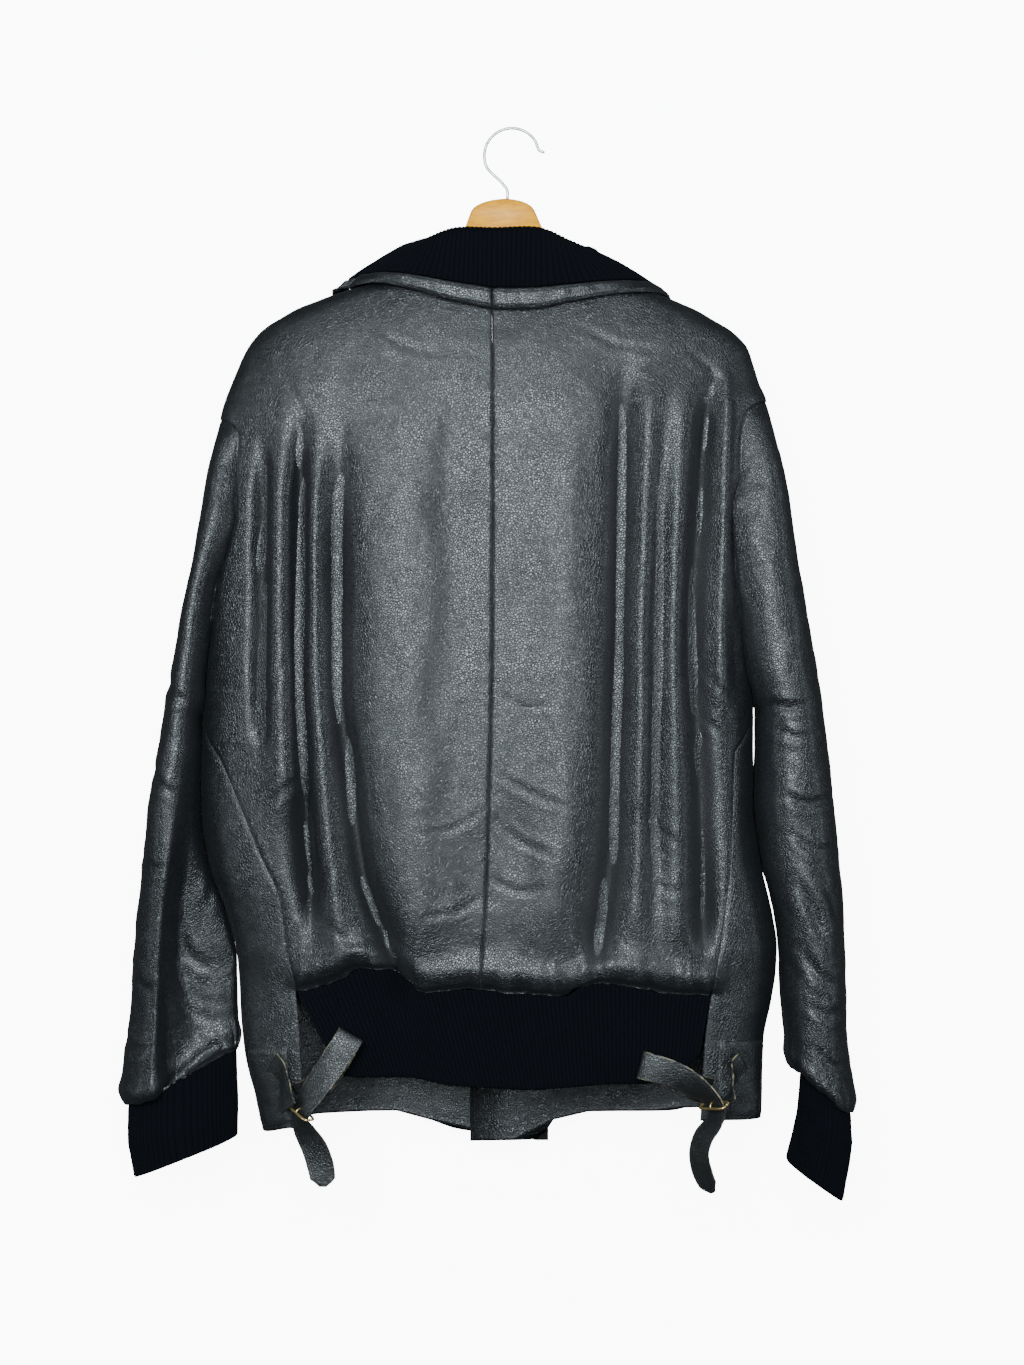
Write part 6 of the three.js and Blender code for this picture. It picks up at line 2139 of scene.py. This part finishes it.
    def buckle_frame(self, side: Side) -> tuple[np.ndarray, np.ndarray, np.ndarray, np.ndarray]:
        """Return a buckle's middle, its width's way, its height's way and the strap's way.

        Args:
            side: The side of the jacket.

        Returns:
            The middle, and a unit vector along each of the three ways.
        """
        stations = self.stations(side)
        at = 10
        middle = np.array(stations[at].at, float)
        way = unit(np.array(stations[at + 1].at, float) - np.array(stations[at - 1].at, float))
        across = np.array(stations[at].across, float)
        across = unit(across - way * float(across @ way))
        return middle, across, np.cross(way, across), way

    def build_buckle(self, side: Side) -> None:
        """Make one brass frame with round corners and a prong across it.

        Args:
            side: The side of the jacket.
        """
        middle, across, up, way = self.buckle_frame(side)
        w, h = self.buckle_inner[0] / 2 + self.bar / 2, self.buckle_inner[1] / 2 + self.bar / 2
        angle = np.linspace(0.0, 2 * math.pi, 73)
        c, s = np.cos(angle), np.sin(angle)
        ring = middle + across * (w * np.sign(c) * np.abs(c) ** 0.35)[:, None]
        ring = ring + up * (h * np.sign(s) * np.abs(s) ** 0.45)[:, None]
        piece = tube(f"buckle_{side.value}_brass", ring, np.full(len(ring), self.bar / 2), 12)
        dress(piece, self.wardrobe.brass, Slot.BRASS, f"buckle_{side.value}")
        prong = np.array([
            middle + up * h * 0.98, middle + up * h * 0.5 - way * 2.6, middle - up * h * 0.4 - way * 2.8,
            middle - up * h * 1.1 - way * 1.0,
        ])
        t = np.linspace(0.0, 1.0, 20)
        tongue = tube(f"buckle_{side.value}_prong", spline(prong, t), mix(0.9, 0.6, t), 10)
        dress(tongue, self.wardrobe.brass, Slot.BRASS)

    def build_short(self, side: Side) -> list[tuple[np.ndarray, np.ndarray]]:
        """Make the short strap from the hem patch to the buckle.

        Args:
            side: The side of the jacket.

        Returns:
            For each row of stitches, its points and the normals there.
        """
        x, z = (-208.0, -821.0) if side is Side.LEFT else (201.0, -821.0)
        start = on_body(side, x, z, 4.0)
        lifted = on_body(side, x - side.sign * 9.0, z - 8.0, 9.0)
        middle, across, up, _ = self.buckle_frame(side)
        out = unit(np.array([side.sign, -0.2, 0.3]))
        reach, twist = (4.3, (0.5, -0.5, 0.7)) if side is Side.LEFT else (5.6, (0.12, -0.8, 0.6))
        end = middle + out * (self.buckle_inner[1] / 2 + self.bar + reach)
        half = mix(lifted, end, 0.55)
        stations = (
            Station(tuple(start), (0, 0, 1)), Station(tuple(lifted), (0, 0, 1)),
            Station(tuple(half), twist), Station(tuple(end), tuple(across)),
        )
        piece = self.ribbon(f"buckle_strap_{side.value}_leather", stations, 19.2, Slot.STRAP)
        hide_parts(f"buckle_strap_{side.value}")
        return self.edge_rows(stations, 19.2)

    def build_patch(self, side: Side) -> None:
        """Make the stitched hem patch from the front's own grid, moved out.

        Args:
            side: The side of the jacket.
        """
        front = self.panels.fronts[side]
        rows, columns, _ = front.outer.shape
        x = front.outer[..., 0]
        z = front.outer[..., 2]
        low, high = 52, 66
        picks = slice(rows - 34, rows - 2)
        cut = front.outer[picks, low:high]
        normals = front.normals()[picks, low:high]
        LOG.info("patch %s: x %.0f..%.0f z %.0f..%.0f", side.value, x[picks, low:high].min(),
                 x[picks, low:high].max(), z[picks, low:high].min(), z[picks, low:high].max())
        dense = refine(cut + normals * (LEATHER + 0.2), 3)
        cloth = Cloth(dense, side.sign, LEATHER)
        cloth.push(0.4 * lattice_noise(dense, (8.0, 8.0, 10.0), 101))
        cloth.soften_rims(0.8, 0.8, 0.8, 0.8)
        piece = wall_mesh(f"hem_patch_{side.value}_leather", cloth.outer, cloth.inner(3), cloth.relief)
        dress(piece, self.wardrobe.leather, Slot.LEATHER, f"hem_patch_{side.value}")
        area = cloth.area()
        r, c, _ = cloth.outer.shape
        across = np.linspace(2.0, c - 3.0, 120)
        down = np.linspace(2.0, r - 3.0, 160)
        rows_of = [
            grid_line(cloth, np.full(120, 2.5), across), grid_line(cloth, np.full(120, r - 3.5), across),
            grid_line(cloth, down, np.full(160, 2.5)), grid_line(cloth, down, np.full(160, c - 3.5)),
        ]
        thread = stitches(f"hem_patch_{side.value}_stitches", rows_of, 2.4, 1.0, 0.26)
        dress(thread, self.wardrobe.thread, Slot.LEATHER)


def refine(grid: np.ndarray, times: int) -> np.ndarray:
    """Return a grid with more rows and columns between those it has.

    Args:
        grid: The grid of points.
        times: How many steps each step of the grid becomes.

    Returns:
        The finer grid.
    """
    rows = np.linspace(0, grid.shape[0] - 1, (grid.shape[0] - 1) * times + 1)
    columns = np.linspace(0, grid.shape[1] - 1, (grid.shape[1] - 1) * times + 1)
    r = np.minimum(rows.astype(int), grid.shape[0] - 2)
    c = np.minimum(columns.astype(int), grid.shape[1] - 2)
    rf = (rows - r)[:, None, None]
    cf = (columns - c)[None, :, None]
    top = mix(grid[r][:, c], grid[r][:, c + 1], cf)
    return mix(top, mix(grid[r + 1][:, c], grid[r + 1][:, c + 1], cf), rf)


def on_body(side: Side, x: float, z: float, out: float) -> np.ndarray:
    """Return a point on the back of the body at a place across, moved out from it.

    Args:
        side: The side of the jacket.
        x: The place across in millimetres.
        z: The height in millimetres.
        out: How far out of the body the point lies.

    Returns:
        The point.
    """
    turn = float(FORM.turn_at(side, x, z))
    p, after, before = (FORM.body(side, turn + step, z) for step in (0.0, 0.01, -0.01))
    along = after - before
    return p + unit(np.array([along[1], -along[0], 0.0])) * out * side.sign


@dataclass
class Buttons:
    """Six buttons on the left front, turned without the four holes that they are sewn through."""

    wardrobe: Wardrobe
    radius: float = 10.0
    thick: float = 2.6
    across: float = 6.0
    heights: tuple[float, ...] = (-262, -372, -482, -592, -702, -812)

    def build(self) -> None:
        """Make the buttons, each turned from a profile."""
        profile = ((0.0, 0.5), (0.62, 0.5), (0.74, 0.75), (0.86, 1.0), (0.97, 0.85), (1.0, 0.5), (0.97, 0.1),
                   (0.9, 0.0), (0.0, 0.0))
        for k, z in enumerate(self.heights):
            near = [FORM.body(Side.LEFT, 2.0, z + step * self.radius)[1] for step in (-1, 0, 1)]
            base = float(max(near)) + 0.6
            work = bmesh.new()
            ring = []
            for share, height in profile:
                ring.append(work.verts.new((share * self.radius * MM, 0.0, height * self.thick * MM)))
            edges = [work.edges.new((a, b)) for a, b in zip(ring, ring[1:])]
            bmesh.ops.spin(
                work, geom=ring + edges, axis=(0, 0, 1), cent=(0, 0, 0), steps=40, angle=2 * math.pi)
            bmesh.ops.remove_doubles(work, verts=work.verts, dist=1e-6)
            for vert in work.verts:
                x, y, up = vert.co
                vert.co = (x + self.across * MM, base * MM + up, y + z * MM)
            mesh = bpy.data.meshes.new(f"button_{k + 1}_disc")
            work.to_mesh(mesh)
            work.free()
            piece = piece_of(f"button_{k + 1}_disc", mesh)
            dress(piece, self.wardrobe.button, Slot.BUTTON, f"button_{k + 1}")


@dataclass
class Hanger:
    """The wooden hanger, whose two arms glued at the middle are made as one bevelled piece, and its wire
    hook.
    """

    wardrobe: Wardrobe
    panels: BodyPanels
    thick: float = 11.0
    wire: float = 2.6
    hook_radius: float = 23.2

    def outline(self) -> np.ndarray:
        """Return the outline of the wood as pairs of x and z.

        Returns:
            The points in their order round the wood.
        """
        left = self.shoulder(Side.LEFT)
        right = self.shoulder(Side.RIGHT)
        le, re = left[-1], right[-1]

        def bend(a: tuple[float, float], b: tuple[float, float], c: tuple[float, float]) -> list[list[float]]:
            """Return points of a curve from a to c that leans towards b.

            Args:
                a: Where the curve starts.
                b: The place that it leans towards.
                c: Where it ends.

            Returns:
                The points, without the first.
            """
            t = np.linspace(0.0, 1.0, 12)[1:, None]
            pa, pb, pc = (np.array(p, float) for p in (a, b, c))
            return (pa * (1 - t) ** 2 + pb * 2 * t * (1 - t) + pc * t**2).tolist()

        shape = [[-42.0, -88.0], [-36.0, -72.0]]
        shape += bend((-36, -72), (-28, -63), (-6, -62))
        shape += bend((-6, -62), (14, -63), (20, -72))
        shape.append([27.0, -88.0])
        shape += bend((27, -88), (36, -125), (80, right[0][1]))
        shape += [list(p) for p in right[1:]]
        shape += bend(re, (re[0] + 3, re[1] - 12), (re[0] - 12, re[1] - 16))
        shape.append([120.0, right[0][1] - 48.0])
        shape += bend((120, right[0][1] - 48), (-8, -144), (-140, left[0][1] - 46))
        shape.append([le[0] + 12, le[1] - 16])
        shape += bend((le[0] + 12, le[1] - 16), (le[0] - 3, le[1] - 12), le)
        shape += [list(p) for p in left[::-1][1:]]
        shape += bend((-100, left[0][1]), (-60, -125), (-42, -88))[:-1]
        return np.array(shape)

    def shoulder(self, side: Side) -> list[tuple[float, float]]:
        """Return the top of an arm, just under the shoulder.

        Args:
            side: The side of the jacket.

        Returns:
            Pairs of x and z, from the top down.
        """
        line = []
        for z, x in sorted(FORM.edge(side).rows, reverse=True):
            if z > -201:
                line.append((x - side.sign * 2.4, z - 3.4))
        return line

    def build(self) -> None:
        """Make the wood and the hook."""
        shape = self.outline()
        work = bmesh.new()
        front = [work.verts.new((x * MM, -self.thick / 2 * MM, z * MM)) for x, z in shape]
        back = [work.verts.new((x * MM, self.thick / 2 * MM, z * MM)) for x, z in shape]
        work.faces.new(front)
        work.faces.new(back[::-1])
        count = len(front)
        for k in range(count):
            n = (k + 1) % count
            work.faces.new((front[n], front[k], back[k], back[n]))
        rims = [e for e in work.edges if abs(e.verts[0].co.y - e.verts[1].co.y) < 1e-6]
        bmesh.ops.bevel(work, geom=rims, offset=2.6 * MM, segments=4, profile=0.5, affect="EDGES")
        bmesh.ops.triangulate(work, faces=[f for f in work.faces if len(f.verts) > 4])
        mesh = bpy.data.meshes.new("hanger_beech")
        work.to_mesh(mesh)
        work.free()
        piece = piece_of("hanger_beech", mesh)
        dress(piece, self.wardrobe.wood, Slot.WOOD, "hanger_wood")
        self.build_hook()

    def build_hook(self) -> None:
        """Make the wire hook with a round tip and a stem into the wood."""
        reach = self.hook_radius + self.wire / 2
        angle = np.linspace(0.22, math.pi * 1.14, 10)
        arc = points_of(np.cos(angle) * reach, 0.0 * angle, np.sin(angle) * reach - self.hook_radius)
        stem = [[-9.0, 0.0, -47.0], [-4.2, 0.0, -54.0], [-4.0, 0.0, -61.4]]
        path = np.vstack([[29.0, 0.0, -20.5], arc, stem])
        t = np.linspace(0.0, 1.0, 150)
        line = spline(path, t)
        girth = np.full(len(t), self.wire / 2)
        run = run_of(line)
        tip = np.clip(run / 1.3, 0.0, 1.0)
        girth[:] = girth * np.sqrt(np.maximum(0.04, 1.0 - (1.0 - tip) ** 2))
        piece = tube("hanger_wire_hook", line, girth, 20)
        dress(piece, self.wardrobe.chrome, Slot.CHROME, "hanger_hook")


@dataclass
class Studio:
    """A wall and floor, the lamps, and a camera where the photograph was taken.

    The wall glows by itself and is left out of reflections and bounced light, so that it comes out as
    white as the photograph's while the leather beside it stays dark.
    """

    wall_y: float = 0.105
    floor_z: float = -1.45
    camera_at: tuple[float, float, float] = (0.0, -2.445, -0.490)
    lens: float = 72.75

    def sheet(self, name: str, corners: list[tuple[float, float, float]], glow: float) -> bpy.types.Object:
        """Make one flat staged surface.

        Args:
            name: The name of the surface.
            corners: Its four corners in metres.
            glow: How strongly it shines by itself.

        Returns:
            The new surface.
        """
        mesh = bpy.data.meshes.new(name)
        mesh.from_pydata(corners, [], [(0, 1, 2, 3)])
        surface = bpy.data.objects.new(name, mesh)
        bpy.context.scene.collection.objects.link(surface)
        nodes, shader = start_material(f"{name} paint", (0.93, 0.93, 0.93), 0.9)
        shader.inputs["Emission Color"].default_value = (1.0, 1.0, 1.0, 1.0)
        shader.inputs["Emission Strength"].default_value = glow
        place = nodes.add("ShaderNodeTexCoord")
        plaster = nodes.add("ShaderNodeTexNoise", Scale=140.0, Detail=4.0)
        nodes.join(place.outputs["Object"], plaster.inputs["Vector"])
        bump = nodes.add("ShaderNodeBump", Strength=0.12, Distance=0.002)
        nodes.join(plaster.outputs["Fac"], bump.inputs["Height"])
        nodes.join(bump.outputs["Normal"], shader.inputs["Normal"])
        mesh.materials.append(bpy.data.materials[f"{name} paint"])
        surface.visible_glossy = False
        surface.visible_diffuse = False
        return surface

    def light(self, name: str, at: tuple[float, float, float], aim: tuple[float, float, float],
              size: tuple[float, float], power: float) -> None:
        """Place one soft area light that points at a place.

        Args:
            name: The lamp's name.
            at: Where it stands, in metres.
            aim: The place that it points at.
            size: Its two lengths in metres.
            power: Its power in watts.
        """
        data = bpy.data.lights.new(name, "AREA")
        data.shape = "RECTANGLE"
        data.size, data.size_y = size
        data.energy = power
        data.color = (0.85, 0.95, 1.0)
        lamp = bpy.data.objects.new(name, data)
        bpy.context.scene.collection.objects.link(lamp)
        lamp.location = at
        way = np.array(aim, float) - np.array(at, float)
        lamp.rotation_euler = Vector(way).to_track_quat("-Z", "Y").to_euler()

    def build(self) -> None:
        """Make the stage, the lights and the camera."""
        w, f = self.wall_y, self.floor_z
        self.sheet("backdrop", [(-3.5, w, f), (3.5, w, f), (3.5, w, 2.5), (-3.5, w, 2.5)], 9.0)
        self.sheet("floor", [(-3.5, -4.5, f), (3.5, -4.5, f), (3.5, w, f), (-3.5, w, f)], 0.0)
        self.light("key", (-0.2, -2.9, 0.0), (0.0, 0.0, -0.5), (1.6, 1.4), 172.0)
        self.light("left strip", (-2.2, -0.9, -0.3), (0.0, 0.0, -0.5), (0.5, 1.8), 14.0)
        self.light("right strip", (2.2, -0.9, -0.3), (0.0, 0.0, -0.5), (0.5, 1.8), 18.0)
        self.light("overhead", (0.0, -1.3, 1.6), (0.0, 0.0, -0.6), (2.4, 1.0), 16.0)
        world = bpy.data.worlds.new("room")
        world.use_nodes = True
        background = world.node_tree.nodes["Background"]
        background.inputs["Color"].default_value = (0.96, 0.98, 1.0, 1.0)
        background.inputs["Strength"].default_value = 0.06
        bpy.context.scene.world = world
        data = bpy.data.cameras.new("camera")
        data.lens = self.lens
        data.sensor_width = 36.0
        data.sensor_height = 36.0
        data.sensor_fit = "VERTICAL"
        camera = bpy.data.objects.new("camera", data)
        bpy.context.scene.collection.objects.link(camera)
        camera.location = self.camera_at
        camera.rotation_euler = (math.pi / 2, 0.0, 0.0)
        bpy.context.scene.camera = camera


def main() -> None:
    """Build the stage, the jacket and the hanger in order."""
    logging.basicConfig(level=logging.INFO, format="%(name)s %(message)s")
    Studio().build()
    wardrobe = Wardrobe()
    panels = BodyPanels(wardrobe)
    panels.build()
    Sleeves(wardrobe, panels).build()
    WaistRib(wardrobe, panels).build()
    Collar(wardrobe, panels).build()
    Straps(wardrobe, panels).build()
    Buttons(wardrobe).build()
    Hanger(wardrobe, panels).build()


if __name__ == "__main__":
    main()
